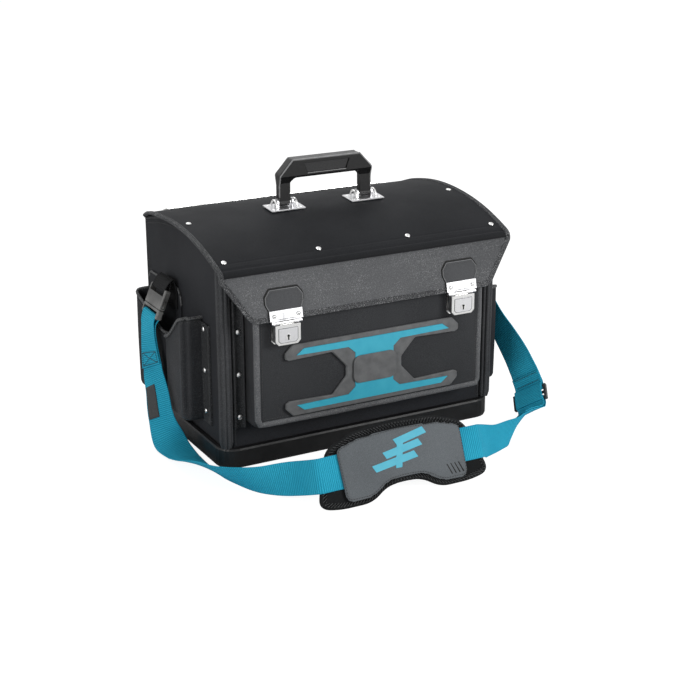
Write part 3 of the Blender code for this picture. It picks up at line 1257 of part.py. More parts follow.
def build_anchor(name, turn):
    """Black webbing sewn to the holster's back panel, looped up and over to the socket's bar."""
    place = buckle_frame(turn)
    across = place.to_3x3() @ Vector((1, 0, 0))
    panel = -BODY_WIDTH / 2 - SEAT_GAP
    face = panel - SIDE_POCKET_WALL - WEB_THICKNESS / 2 - 2 * SEAT_GAP
    patch_top = HOLSTER_BACK_TOP - SIDE_POCKET_WALL
    low = turn @ Vector((face, ANCHOR_OFFSET, patch_top - ANCHOR_PATCH_HEIGHT))
    held = turn @ Vector((face, ANCHOR_OFFSET, patch_top - ANCHOR_PATCH_HEIGHT / 2))
    high = turn @ Vector((face, ANCHOR_OFFSET, patch_top))
    lead = place @ Vector((0, BAR_RADIUS - WEB_LEAD, 0))
    bar = place @ Vector((0, BAR_RADIUS, 0))
    crest = turn @ Vector((face - ANCHOR_LOOP_REACH, ANCHOR_OFFSET, ANCHOR_HEIGHT))
    route = [(low, across), (held, across), (high, across), (crest, across), (lead, across), (bar, across)]
    add_ribbon(name + "_anchor_webbing", webbing_path(route, False, True, ANCHOR_DROP), BLACK_WEB)


PAD_FRAME = (Matrix.Translation((PAD_OFFSET, -TRAY_DEPTH / 2 - PAD_STAND_OFF, FLOOR_CLEARANCE))
             @ Matrix.Rotation(math.radians(90) - PAD_LEAN, 4, "X"))
PAD_STRAP_LEVEL = PAD_HEIGHT * PAD_STRAP_SHARE


def pad_outline(half_shares, radius):
    """A closed outline from a right half given as shares of the half length and of the height."""
    return filleted(mirrored([(share_x * PAD_LENGTH / 2, share_y * PAD_HEIGHT)
                              for share_x, share_y in half_shares]), radius)


def build_pad():
    """The shoulder pad: black backing, grey cover with a channel for the strap, blue bars."""
    backing_shares = ((0, 0.22), (0.22, 0.20), (0.42, 0.0), (0.80, 0.0), (1.03, 0.06), (0.98, 0.30),
                      (0.84, 0.80), (0.50, 0.96), (0, 1.0))
    cover_shares = ((0, 0.30), (0.22, 0.28), (0.42, 0.09), (0.75, 0.08), (0.77, 0.80), (0.50, 0.90),
                    (0, 0.94))
    backing = pad_outline(backing_shares, PAD_CORNER)
    lift = PAD_BACKING_THICKNESS
    pad = add("pad_backing", prism_mesh("pad_backing", backing, 0, lift), BLACK_WEB, PAD_FRAME)
    round_edges(pad, PAD_EDGE_ROUND, 2)
    cover_base = lift + SEAT_GAP
    cover = add("pad_cover", prism_mesh("pad_cover", pad_outline(cover_shares, PAD_CORNER), cover_base,
                                        cover_base + PAD_COVER_THICKNESS), PAD_CLOTH, PAD_FRAME)
    round_edges(cover, PAD_EDGE_ROUND, 2)
    half_channel = WEB_WIDTH / 2 + PAD_CHANNEL_MARGIN
    depth = WEB_THICKNESS + 4 * SEAT_GAP
    channel = box_mesh("pad_channel", (-PAD_LENGTH, PAD_STRAP_LEVEL - half_channel, cover_base - OVERRUN),
                       (PAD_LENGTH, PAD_STRAP_LEVEL + half_channel, cover_base + depth))
    combine(cover, cutter(channel, PAD_FRAME))
    top = cover_base + PAD_COVER_THICKNESS + SEAT_GAP
    bars = []
    bar_width = PAD_HEIGHT / 9
    start_share, reach_share, rise_share = 0.2, 0.3, 1.6
    for index in range(3):
        start = -PAD_LENGTH * start_share + index * 2 * bar_width
        end = start + PAD_LENGTH * reach_share - index * bar_width
        low = PAD_STRAP_LEVEL - bar_width + index * bar_width * rise_share
        shape = [(start, low), (end, low + bar_width), (end - bar_width / 2, low + 2 * bar_width),
                 (start - bar_width / 2, low + bar_width)]
        bars.append(prism_mesh("pad_bar_%d" % index, shape, top, top + PAD_INLAY_THICKNESS))
    inlay = add("pad_inlay", bars[1], BLUE_TRIM, PAD_FRAME)
    stem_foot = PAD_STRAP_LEVEL - bar_width
    stem_head = PAD_STRAP_LEVEL + 3 * bar_width
    stem = [(-bar_width * 3 / 2, stem_foot), (-bar_width / 2, stem_foot), (bar_width / 2, stem_head),
            (-bar_width / 2, stem_head)]
    bars.append(prism_mesh("pad_stem", stem, top, top + PAD_INLAY_THICKNESS))
    for shape in (bars[0], bars[2], bars[3]):
        combine(inlay, cutter(shape, PAD_FRAME), "UNION")


def strap_place(share_x, share_y, share_z):
    """A point of the strap's lie, in shares of half the width, half the depth and the anchor's height."""
    return Vector((share_x * (TRAY_WIDTH / 2 + STRAP_SIDE_REACH), share_y * TRAY_DEPTH / 2,
                   share_z * STRAP_RISE_SHARE * ANCHOR_HEIGHT + FLOOR_CLEARANCE))


def slider_frame():
    """The strap slider stands on the floor off the right front corner."""
    centre_shares = (1.035, -1.30, 0.74)
    return frame_at(strap_place(*centre_shares), (-0.56, 0.64, -0.52), (0.36, 0.61, 0.45))


def build_slider():
    """A three-bar slider: round bars across the webbing between two rails."""
    place = slider_frame()
    rail = WEB_WIDTH / 2 + BAR_CLEARANCE
    reach = SLIDER_BAR_PITCH + SLIDER_BAR_RADIUS
    slider = add("strap_slider",
                 box_mesh("strap_slider", (rail, -reach, -SLIDER_BAR_RADIUS),
                          (rail + SLIDER_RAIL_WIDTH, reach, SLIDER_BAR_RADIUS)), BUCKLE_PLASTIC, place)
    other = box_mesh("slider_rail", (-rail - SLIDER_RAIL_WIDTH, -reach, -SLIDER_BAR_RADIUS),
                     (-rail, reach, SLIDER_BAR_RADIUS))
    combine(slider, cutter(other, place), "UNION")
    middle = rail + SLIDER_RAIL_WIDTH / 2
    for index in (-1, 0, 1):
        y = index * SLIDER_BAR_PITCH
        bar = rod_mesh("slider_bar_%d" % index, (-middle, y, 0), (middle, y, 0),
                       SLIDER_BAR_RADIUS * 15 / 16, 14)
        combine(slider, cutter(bar, place), "UNION")
    shade_round(slider)


def build_straps():
    """The long blue strap from the left buckle through the pad to the slider, and its short tail."""
    left = buckle_frame(Matrix.Identity(4))
    across = left.to_3x3() @ Vector((-1, 0, 0))
    bar = left @ Vector((0, PLUG_BAR, 0))
    hang_shares = ((-1.012, 0.22, 2.92, (0.10, -0.99, 0.0)), (-1.02, 0.13, 2.25, (0.22, -0.97, 0.0)),
                   (-1.025, 0.01, 1.66, (0.33, -0.94, 0.0)), (-1.036, -0.12, 1.0, (0.48, -0.88, 0.0)),
                   (-1.02, -0.24, 0.36, (0.84, -0.52, 0.0)), (-1.0, -0.44, 0.10, (1.0, -0.12, -0.04)),
                   (-1.0, -0.74, 0.14, (0.95, 0.0, -0.28)), (-0.985, -1.07, 0.32, (0.78, 0.08, -0.61)),
                   (-0.945, -1.38, 0.42, (0.60, 0.25, -0.76)), (-0.845, -1.70, 0.53, (0.20, 0.25, -0.95)),
                   (-0.71, -1.99, 0.78, (0.0, -0.36, -0.93)))
    route = [(bar, across), (left @ Vector((0, PLUG_BAR + WEB_LEAD, 0)), across)]
    route += [(strap_place(*share[:3]), Vector(share[3]).normalized()) for share in hang_shares]
    pad_across = PAD_FRAME.to_3x3() @ Vector((0, -1, 0))
    level = PAD_BACKING_THICKNESS + 3 * SEAT_GAP + WEB_THICKNESS / 2
    pad_run_shares = (-0.50, -0.42, -0.2, 0, 0.2, 0.42, 0.49)
    for share in pad_run_shares:
        route.append((PAD_FRAME @ Vector((share * PAD_LENGTH, PAD_STRAP_LEVEL, level)), pad_across))
    slider = slider_frame()
    slider_across = slider.to_3x3() @ Vector((1, 0, 0))
    front_shares = ((0.40, -2.10, 0.84, (0.0, -0.40, -0.92)), (0.50, -1.97, 0.58, (0.0, 0.0, -1.0)),
                    (0.61, -1.89, 0.52, (-0.1, 0.08, -0.98)), (0.715, -1.82, 0.51, (-0.24, 0.18, -0.95)),
                    (0.80, -1.67, 0.50, (-0.33, 0.40, -0.85)), (0.89, -1.52, 0.50, (-0.45, 0.60, -0.66)))
    route += [(strap_place(*share[:3]), Vector(share[3]).normalized()) for share in front_shares]
    route.append((slider @ Vector((0, -SLIDER_BAR_PITCH - WEB_LEAD, 0)), slider_across))
    route.append((slider @ Vector((0, -SLIDER_BAR_PITCH, 0)), slider_across))
    add_ribbon("shoulder_strap", webbing_path(route, True, True), BLUE_WEB)

    right = buckle_frame(Matrix.Rotation(math.pi, 4, "Z"))
    top_bar = right @ Vector((0, PLUG_BAR, 0))
    top_across = right.to_3x3() @ Vector((-1, 0, 0))
    tail = [(slider @ Vector((0, SLIDER_BAR_PITCH, 0)), slider_across),
            (slider @ Vector((0, SLIDER_BAR_PITCH + WEB_LEAD, 0)), slider_across)]
    tail_shares = ((1.06, -0.98, 1.76, 0.35), (1.035, -0.75, 2.48, 0.65), (1.01, -0.57, 3.05, 0.85))
    for share in tail_shares:
        tail.append((strap_place(*share[:3]), slider_across.lerp(top_across, share[3])))
    tail.append((right @ Vector((0, PLUG_BAR + WEB_LEAD, 0)), top_across))
    tail.append((top_bar, top_across))
    add_ribbon("strap_tail", webbing_path(tail, True, True, WEB_SEWN_LENGTH / 2), BLUE_WEB)


def hang_on(name, location, members):
    """Parent the pieces of one moving body to an empty on its joint's axis."""
    empty = bpy.data.objects.new(name, None)
    PARTS.objects.link(empty)
    empty.location = location
    bpy.context.view_layer.update()
    for member in members:
        member.parent = empty
        member.matrix_parent_inverse = empty.matrix_world.inverted()
    return empty


def build_case():
    """Build every piece, then hang the moving ones on their axes."""
    handles = {"lid": []}
    build_tray()
    build_body()
    build_inside()
    handles["lid"].append(build_lid())
    build_hinge()
    build_lid_bars(bpy.data.objects["lid_cover"], handles)
    build_front_pocket()
    build_front_strips()
    half_turn = Matrix.Rotation(math.pi, 4, "Z")
    for name, turn in (("left", Matrix.Identity(4)), ("right", half_turn)):
        build_side_pockets(name, turn)
        build_buckle(name, turn)
        build_anchor(name, turn)
    for name, side in (("left", -1), ("right", 1)):
        build_lock(name, side, handles)
    build_handle(handles)
    build_brace()
    build_pad()
    build_slider()
    build_straps()
    handles["lid"].append(bpy.data.objects["hinge_lid_leaf"])
    lid_axis = hang_on("lid_axis", (0, HINGE_Y, HINGE_Z), handles["lid"])
    handle_axis = hang_on("handle_axis", (0, HANDLE_Y, HANDLE_PIVOT_Z), handles["handle"])
    handle_axis.parent = lid_axis
    handle_axis.matrix_parent_inverse = lid_axis.matrix_world.inverted()
    for name, side in (("left", -1), ("right", 1)):
        x = side * LOCK_SPACING / 2
        cover_axis = hang_on(name + "_cover_axis", (x, LOCK_PIVOT_Y, LOCK_PIVOT_Z),
                             handles[name + "_cover"])
        key_axis = hang_on(name + "_key_axis", (x, COVER_FACE, COVER_BOTTOM + CYLINDER_RISE),
                           handles[name + "_cylinder"])
        bpy.context.view_layer.update()
        key_axis.parent = cover_axis
        key_axis.matrix_parent_inverse = cover_axis.matrix_world.inverted()
        cover_axis.parent = lid_axis
        cover_axis.matrix_parent_inverse = lid_axis.matrix_world.inverted()


build_case()
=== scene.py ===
import math

import bmesh
import bpy
from mathutils import Matrix, Vector, noise


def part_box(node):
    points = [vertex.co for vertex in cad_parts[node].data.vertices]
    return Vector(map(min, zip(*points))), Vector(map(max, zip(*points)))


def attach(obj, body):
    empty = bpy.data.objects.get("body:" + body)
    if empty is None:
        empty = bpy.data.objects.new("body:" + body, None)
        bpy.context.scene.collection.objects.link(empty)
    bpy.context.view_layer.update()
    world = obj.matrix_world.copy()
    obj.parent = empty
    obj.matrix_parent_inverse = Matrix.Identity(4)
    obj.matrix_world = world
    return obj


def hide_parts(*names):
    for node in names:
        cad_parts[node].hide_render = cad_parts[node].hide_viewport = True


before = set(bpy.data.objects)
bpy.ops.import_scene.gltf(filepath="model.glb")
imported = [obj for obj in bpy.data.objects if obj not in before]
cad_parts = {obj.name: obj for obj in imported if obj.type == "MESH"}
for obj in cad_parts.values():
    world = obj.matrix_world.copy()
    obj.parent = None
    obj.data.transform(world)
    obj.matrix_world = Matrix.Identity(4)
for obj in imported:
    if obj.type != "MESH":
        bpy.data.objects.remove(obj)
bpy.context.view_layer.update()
scene = bpy.context.scene
scene.view_settings.view_transform = "Standard"

# The camera stands where the photograph was taken: a long lens, left of the case and a little above.
# Its place was worked out from the case's square corners and its matched pairs of fittings.
camera = bpy.data.objects.new("camera", bpy.data.cameras.new("camera"))
scene.collection.objects.link(camera)
camera.location = (-1.0679, -2.0590, 0.9212)
camera.rotation_euler = (math.radians(90) - 0.338, 0, -0.501)
camera.data.sensor_width = 36
camera.data.lens = 77.56
scene.camera = camera


# The studio: a white floor and white surroundings, lit by large soft lamps.
# The floor shows white but keeps the case's shadow, and metal mirrors the white room.
class Field:
    """A value that varies over a surface. Arithmetic on it adds the nodes for the sum."""

    def __init__(self, finish, socket):
        self.finish = finish
        self.socket = socket

    def __add__(self, other):
        return self.finish.calc("ADD", self, other)

    def __sub__(self, other):
        return self.finish.calc("SUBTRACT", self, other)

    def __rsub__(self, other):
        return self.finish.calc("SUBTRACT", other, self)

    def __mul__(self, other):
        return self.finish.calc("MULTIPLY", self, other)

    def __abs__(self):
        return self.finish.calc("ABSOLUTE", self)

    __radd__ = __add__
    __rmul__ = __mul__


class Finish:
    """A tree of shader nodes, with one method that adds any node to it."""

    def __init__(self, name, owner=None):
        self.material = owner or bpy.data.materials.new(name)
        self.material.use_nodes = True
        self.tree = self.material.node_tree
        self.shader = self.tree.nodes.get("Principled BSDF")

    def node(self, kind, settings=None, inputs=None, output=0):
        made = self.tree.nodes.new(kind)
        for name, value in (settings or {}).items():
            setattr(made, name, value)
        for key, value in (inputs or {}).items():
            self.feed(made.inputs[key], value)
        return Field(self, made.outputs[output])

    def feed(self, socket, value):
        if isinstance(value, Field):
            self.tree.links.new(value.socket, socket)
        else:
            socket.default_value = value

    def set(self, **inputs):
        for name, value in inputs.items():
            self.feed(self.shader.inputs[name.replace("_", " ")], value)

    def calc(self, operation, *values):
        return self.node("ShaderNodeMath", {"operation": operation}, dict(enumerate(values)))

    def mix(self, amount, first, second):
        return self.node("ShaderNodeMix", {"data_type": "RGBA"}, {0: amount, 6: first, 7: second}, 2)

    def place(self, output="Object"):
        return self.node("ShaderNodeTexCoord", output=output)

    def parts(self, vector):
        split = self.node("ShaderNodeSeparateXYZ", inputs={0: vector}).socket.node
        return [Field(self, socket) for socket in split.outputs]

    def cloud(self, scale, detail=2.0, rough=0.5, vector=None):
        return self.node("ShaderNodeTexNoise", inputs={"Vector": vector or self.place(), "Scale": scale,
                                                       "Detail": detail, "Roughness": rough})

    def step(self, value, low, high):
        """0 below low, 1 above high, a straight climb between."""
        return self.node("ShaderNodeMapRange", {"clamp": True}, {0: value, 1: low, 2: high, 3: 0.0, 4: 1.0})

    def relief(self, height, strength, depth):
        """Bumps of that height, given in millimetres, laid on the surface."""
        return self.node("ShaderNodeBump", inputs={"Strength": strength, "Distance": depth * 0.001,
                                                   "Height": height})


def tint(code):
    """A colour as read off a screen, such as 3a3c3f, as the shader wants it."""
    parts = [int(code[place:place + 2], 16) / 255 for place in (0, 2, 4)]
    return tuple(v / 12.92 if v < 0.04045 else ((v + 0.055) / 1.055) ** 2.4 for v in parts) + (1.0,)


def ray_kinds(finish):
    """Where the camera sees a thing straight or through clear stuff, and where it sees it mirrored."""
    rays = finish.node("ShaderNodeLightPath").socket.node.outputs
    straight = finish.calc("MAXIMUM", Field(finish, rays["Is Camera Ray"]),
                           Field(finish, rays["Is Transmission Ray"]))
    return straight, Field(finish, rays["Is Glossy Ray"])


world = bpy.data.worlds.new("studio")
scene.world = world
room = Finish("studio", world)
bare, mirrored = ray_kinds(room)
backdrop = room.tree.nodes["Background"]
backdrop.inputs["Color"].default_value = (1, 1, 1, 1)
room.feed(backdrop.inputs["Strength"], 0.30 + 0.70 * bare + 0.68 * mirrored)

floor = bpy.data.objects.new("floor", bpy.data.meshes.new("floor"))
floor.data.from_pydata([(-9, -9, 0), (9, -9, 0), (9, 9, 0), (-9, 9, 0)], [], [(0, 1, 2, 3)])
scene.collection.objects.link(floor)
paper = Finish("floor_paper")
paper.set(Base_Color=(0.86, 0.86, 0.86, 1), Roughness=0.9)
clear = ray_kinds(paper)[0]
glow = paper.node("ShaderNodeEmission", inputs={"Color": (1, 1, 1, 1), "Strength": 1.46})
both = paper.node("ShaderNodeMixShader",
                  inputs={0: clear * 0.62, 1: Field(paper, paper.shader.outputs[0]), 2: glow})
paper.feed(paper.tree.nodes["Material Output"].inputs["Surface"], both)
floor.data.materials.append(paper.material)


def lamp(name, place, target, size, power):
    """A square soft box that looks at a point of the case."""
    light = bpy.data.objects.new(name, bpy.data.lights.new(name, "AREA"))
    light.data.size = size
    light.data.energy = power
    light.location = place
    light.rotation_euler = (Vector(target) - Vector(place)).to_track_quat("-Z", "Y").to_euler()
    scene.collection.objects.link(light)


lamp("front_box", (1.47, -2.36, 1.32), (0, -0.1, 0.2), 1.1, 48)
lamp("left_box", (-2.5, -1.1, 1.0), (-0.1, 0, 0.2), 1.0, 22)
lamp("top_box", (-0.2, 1.1, 2.3), (0, 0, 0.2), 1.2, 15)


# The tray is one moulding of black plastic that the boarded body stands in.
# Its skin has a fine grain, rubbed lighter along the rim and the lower edge.
def worn(finish, low=0.53, high=0.62):
    """How far an edge has been rubbed, from 0 on the flats to 1."""
    point = finish.node("ShaderNodeNewGeometry", output="Pointiness")
    return finish.step(point, low, high) * finish.step(finish.cloud(38.0, 3.0), 0.35, 0.65)


def moulded(name, blend, dark, light, rough, pores, depth, **more):
    """A moulding: two shades as blended, roughness as (least, spread, scale of patches), fine pores."""
    made = Finish(name)
    made.set(Base_Color=made.mix(blend(made), tint(dark), tint(light)),
             Roughness=rough[0] + rough[1] * made.cloud(rough[2]),
             Normal=made.relief(made.cloud(pores, 3.0), 0.35, depth), **more)
    return made


def dress(finish, *nodes):
    """These CAD nodes keep their shape and get this finish."""
    for node in nodes:
        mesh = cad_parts[node].data
        mesh.materials.clear()
        mesh.materials.append(finish.material)


tray_plastic = moulded("moulded_tray", worn, "0d0d0e", "2c2c2d", (0.34, 0.2, 60.0), 900.0, 0.25,
                       Specular_IOR_Level=0.3)
dress(tray_plastic, "base_tray")


# The body is board covered with a coated cloth, dark grey, with a close weave and a dull shine.
# The panels meet in sewn seams at the corners, and a rolled edge runs along the end panels' tops.
def weave(finish, pitch):
    """Over-and-under threads, laid flat on whichever way the surface faces."""
    turns = [finish.calc("SINE", part * (2 * math.pi / pitch)) for part in finish.parts(finish.place())]
    faces = [part * part for part in finish.parts(finish.place("Normal"))]
    return (faces[0] * turns[1] * turns[2] + faces[1] * turns[0] * turns[2]
            + faces[2] * turns[0] * turns[1])


def coated_cloth(name, dark, light, pitch=0.0016, rough=0.62, creases=0.5, flecks=0.0, wear=0.5,
                 below=None):
    """Coated cloth: threads, grain, pale flecks, slow shading, shallow creases and rubbed edges.
    Below the lid's fold it may be painted in other, lighter shades as a painted sheen, with a painted shade
    band along the fold and painted shade that darkens it to the right."""
    cloth = Finish(name)
    threads = weave(cloth, pitch)
    grains = cloth.cloud(1100.0, 2.0)
    slow = cloth.step(cloth.cloud(9.0, 3.0), 0.35, 0.68)
    shade = slow * 0.22 + cloth.step(grains + threads * 0.06, 0.40, 0.66) * 0.55
    cover = cloth.mix(shade, tint(dark), tint(light))
    specks = (cloth.step(cloth.cloud(820.0, 2.0), 0.54, 0.66) * flecks
              * (0.45 + 0.55 * cloth.step(cloth.cloud(26.0, 3.0), 0.36, 0.60)))
    if below:
        right, _, height = cloth.parts(cloth.place())
        hanging = cloth.step(height, 0.3072, 0.3058)
        # Painted shade: a dark band along the fold. Below the fold the flap is painted lighter as a painted
        # sheen, and painted shade darkens it towards the right.
        fold_painted_shade = cloth.step(height, 0.3150, 0.3090)
        cover = cloth.mix(fold_painted_shade * 0.55, cover, tint("0e0e0f"))
        flap = cloth.mix(shade, tint(below[0]), tint(below[1]))
        flap = cloth.mix(cloth.step(right, 0.05, 0.25) * 0.45, flap, tint("3a3b3d"))
        cover = cloth.mix(hanging, cover, flap)
        specks = specks * hanging
    cover = cloth.mix(specks, cover, tint("a3a4a5"))
    height = threads * 0.16 + grains * 0.35 + cloth.cloud(22.0, 3.0) * creases * 4
    cloth.set(Base_Color=cloth.mix(worn(cloth, 0.54, 0.66) * wear, cover, tint("6a6b6c")),
              Roughness=rough + 0.12 * grains - 0.08 * slow, Specular_IOR_Level=0.08,
              Normal=cloth.relief(height, 0.5, 0.5))
    return cloth


def add_piece(name, mesh, finish, *nodes, body="case", slot="body_cloth"):
    """A new piece that rides on a body, and stands for the CAD nodes named."""
    mesh.name = name
    made = bpy.data.objects.new(name, mesh)
    scene.collection.objects.link(made)
    mesh.materials.append(finish.material)
    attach(made, body)
    if nodes:
        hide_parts(*nodes)
    return made


def kept(work, turn_out=False):
    """The mesh of a shape that is done, its faces turned outward where asked."""
    if turn_out:
        bmesh.ops.recalc_face_normals(work, faces=work.faces)
    mesh = bpy.data.meshes.new("shape")
    work.to_mesh(mesh)
    work.free()
    return mesh


def cloth_mesh(rows, closed=False):
    """A smooth sheet through rows of points; closed joins each row's ends."""
    work = bmesh.new()
    laid = [[work.verts.new(point) for point in row] for row in rows]
    count = len(rows[0])
    for upper, lower in zip(laid, laid[1:]):
        for place in range(count if closed else count - 1):
            after = (place + 1) % count
            work.faces.new((upper[place], upper[after], lower[after], lower[place])).smooth = True
    return kept(work, True)


def thicken(piece, thickness, offset=-1):
    """Gives a sheet its thickness."""
    made = piece.modifiers.new("thickness", "SOLIDIFY")
    made.thickness = thickness
    made.offset = offset


def soften(piece, width, segments=1):
    """Breaks a piece's sharp edges."""
    made = piece.modifiers.new("edge", "BEVEL")
    made.width = width
    made.segments = segments


def cord_mesh(path, radius, sides=8, flat=1.0, closed=False):
    """A round or flattened cord swept along a path, used for piping and rolled edges."""
    path = [Vector(point) for point in path]
    last = len(path) - 1
    rings = []
    side = None
    for place, point in enumerate(path):
        before = path[place - 1 if closed else max(place - 1, 0)]
        after = path[(place + 1) % len(path) if closed else min(place + 1, last)]
        along = (after - before).normalized()
        if side is None:
            side = along.orthogonal().normalized()
        side = (side - along * side.dot(along)).normalized()
        up = along.cross(side) * flat
        angles = [2 * math.pi * step / sides for step in range(sides)]
        rings.append([point + side * radius * math.cos(angle) + up * radius * math.sin(angle)
                      for angle in angles])
    return cloth_mesh(rings + rings[:1] if closed else rings, closed=True)


def spaced(path, pitch):
    """Points a pitch apart along a path of (point, outward), with the way it runs there."""
    made = []
    due = pitch / 2
    for (start, start_out), (end, end_out) in zip(path, path[1:]):
        start, end = Vector(start), Vector(end)
        span = (end - start).length
        at = due
        while at < span:
            out = Vector(start_out).lerp(Vector(end_out), at / span).normalized()
            made.append((start.lerp(end, at / span), out, (end - start).normalized()))
            at += pitch
        due = at - span
    return made


def stitch_mesh(paths, pitch=0.0042, length=0.0031, width=0.0009, height=0.0005):
    """Rows of sewn stitches: each is a slim bump whose ends sink into the cloth."""
    work = bmesh.new()
    for path in paths:
        for point, out, way in spaced(path, pitch):
            side = way.cross(out).normalized() * width / 2
            ends = [work.verts.new(point + way * reach * length / 2 - out * height * 0.4)
                    for reach in (-1, 1)]
            ring = []
            for reach in (-0.3, 0.3):
                centre = point + way * reach * length
                ring.append([work.verts.new(centre + move) for move in (-side, out * height, side)])
            for left, right in ((0, 1), (1, 2)):
                for corners in ((ring[0][left], ring[0][right], ring[1][right], ring[1][left]),
                                (ends[0], ring[0][right], ring[0][left]),
                                (ends[1], ring[1][left], ring[1][right])):
                    work.faces.new(corners).smooth = True
    return kept(work)


def plain(name, dark, light, rough, patches, pores=None, strength=0.4, depth=0.2):
    """Dull stuff in two shades; its patches and pores are (scale,) or (scale, detail)."""
    made = Finish(name)
    made.set(Base_Color=made.mix(made.cloud(*patches), tint(dark), tint(light)), Roughness=rough)
    if pores:
        made.set(Normal=made.relief(made.cloud(*pores), strength, depth))
    return made


def sewing_thread(name, colour):
    """Twisted sewing thread."""
    return plain(name, colour, "08090a", 0.6, (700.0,), (2400.0,))


sides = ((-1, "left"), (1, "right"))
body_cloth = coated_cloth("body_cloth", "262729", "35363a", creases=0.2, wear=0.0)
dress(body_cloth, "body_shell")
dark_thread = sewing_thread("dark_thread", "4a4b4c")
edge_cloth = coated_cloth("edge_cloth", "242527", "4b4c4e", 0.0012, 0.5, 0.2)
body_x = 0.2317
body_y = 0.1449
dome_y, dome_z, dome_radius = 0.009712, -0.103367, 0.455819
edge_cord = 0.0022


def dome(y, drop=0.0):
    """Height of the lid's end curve at y, or of a curve a drop inside it."""
    return dome_z + math.sqrt((dome_radius - drop) ** 2 - (y - dome_y) ** 2)


for side, hand in sides:
    top_edge = [(side * (body_x - 0.0005), y / 1000, dome(y / 1000, 0.0089)) for y in range(-128, 145, 8)]
    add_piece(hand + "_panel_edge", cord_mesh(top_edge, edge_cord), edge_cloth)
    seam = [((side * (body_x + 0.0004), y / 1000, dome(y / 1000, 0.0165)), (side, 0, 0))
            for y in range(-126, 141, 6)]
    add_piece(hand + "_panel_stitches", stitch_mesh([seam]), dark_thread)
    back_edge = [(side * (body_x - 0.0012), body_y - 0.0012, z / 1000) for z in range(34, 326, 12)]
    add_piece(hand + "_back_piping", cord_mesh(back_edge, 0.0026), edge_cloth)
    seams = [[((side * (body_x - 0.010), body_y + 0.0003, z), (0, 1, 0)) for z in (0.036, 0.318)],
             [((side * (body_x + 0.0003), body_y - 0.010, z), (side, 0, 0)) for z in (0.036, 0.318)]]
    add_piece(hand + "_back_stitches", stitch_mesh(seams), dark_thread)


# A padded roll covers each front corner: two plies of cloth over a soft core, sewn down each side,
# so that it shows as a broad rib between two thin ones.
noise.seed_set(7)


def sway(point, reach, scale=9.0):
    """A slow, fixed wander that keeps soft goods from looking machined."""
    return noise.noise_vector(Vector(point) * scale) * reach


roll_cloth = coated_cloth("roll_cloth", "37383a", "525355", 0.0014, 0.6, 0.4, 0.12)
for side, hand in sides:
    low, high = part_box("corner_roll_" + hand)
    centre = (low + high) / 2
    rows = []
    levels = 30
    for level in range(levels + 1):
        row = []
        for step in range(48):
            angle = 2 * math.pi * step / 48
            reach = (high.x - low.x) / 2 - 0.0030 * math.sin(angle * 4 + side * 0.6) ** 10
            if level in (0, levels):
                reach -= 0.0025
            spot = Vector((centre.x + reach * math.cos(angle), centre.y + reach * math.sin(angle),
                           low.z + (high.z - low.z) * level / levels))
            row.append(spot + sway(spot, 0.0006, 14.0))
        rows.append(row)
    add_piece(hand + "_corner_roll_cloth", cloth_mesh(rows, True), roll_cloth, "corner_roll_" + hand)
    flank_x = centre.x - side * (high.x - low.x) * 0.62
    flank = [(flank_x, low.y + 0.0088, z / 1000) for z in range(36, 312, 12)]
    add_piece(hand + "_corner_piping", cord_mesh(flank, edge_cord), edge_cloth)


# A leather-cloth strip lies on the front beside each corner, its two long edges rolled into ribs,
# and three nickel rivets hold it through the board.
def bar_rows(profile, start, end, count):
    """A bar of a fixed section: a profile of points, run from start to end in count steps."""
    return [[Vector(start).lerp(Vector(end), step / count) + Vector(spot) for spot in profile]
            for step in range(count + 1)]


strip_cloth = coated_cloth("strip_cloth", "232425", "424345", 0.0014, 0.5, 0.3, 0.2)
for side, hand in sides:
    low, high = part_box("front_strip_" + hand)
    section = [(0.0, 0.0), (-0.0002, -0.0022), (0.0005, -0.0042), (0.0019, -0.0050), (0.0034, -0.0042),
               (0.0041, -0.0024), (0.0048, -0.0014), (0.0095, -0.0018), (0.0142, -0.0014),
               (0.0149, -0.0024), (0.0156, -0.0042), (0.0171, -0.0050), (0.0185, -0.0042),
               (0.0192, -0.0022), (0.0190, 0.0)]
    rows = bar_rows([(across, out, 0) for across, out in section], (low.x, high.y, low.z),
                    (low.x, high.y, high.z), 24)
    foot = [Vector((spot.x, high.y + (spot.y - high.y) * 0.35, low.z)) for spot in rows[0]]
    above_foot = [spot + Vector((0, 0, 0.0016)) for spot in rows[0]]
    add_piece(hand + "_strip_cloth", cloth_mesh([foot, above_foot] + rows[1:]), strip_cloth,
              "front_strip_" + hand)
    seams = [[((x, high.y - 0.0021, z), (0, -1, 0)) for z in (0.066, 0.296)]
             for x in (low.x + 0.0049, high.x - 0.0049)]
    add_piece(hand + "_strip_stitches", stitch_mesh(seams), dark_thread)


# Nickel-plated steel: rivets, locks, handle plates and the hinge. Bright, with fine polishing
# marks and a few dull spots; a darker copy of it is painted shade round rivets and in lines and grooves.
def plated(name, colour="e2e2e1", rough=0.24):
    """Nickel plate with polishing marks."""
    plate = Finish(name)
    x, y, z = plate.parts(plate.place())
    run = plate.node("ShaderNodeCombineXYZ", inputs={0: x * 0.12, 1: y, 2: z})
    marks = plate.cloud(900.0, 3.0, 0.6, run)
    spots = plate.step(plate.cloud(160.0, 3.0), 0.56, 0.72)
    plate.set(Base_Color=plate.mix(spots * 0.2, tint(colour), tint("b5b4b1")), Metallic=1.0,
              Roughness=rough + 0.10 * marks + 0.10 * spots, Normal=plate.relief(marks, 0.06, 0.02))
    return plate


nickel = plated("nickel_plate")
satin_nickel = plated("satin_nickel", "dadadc", 0.30)
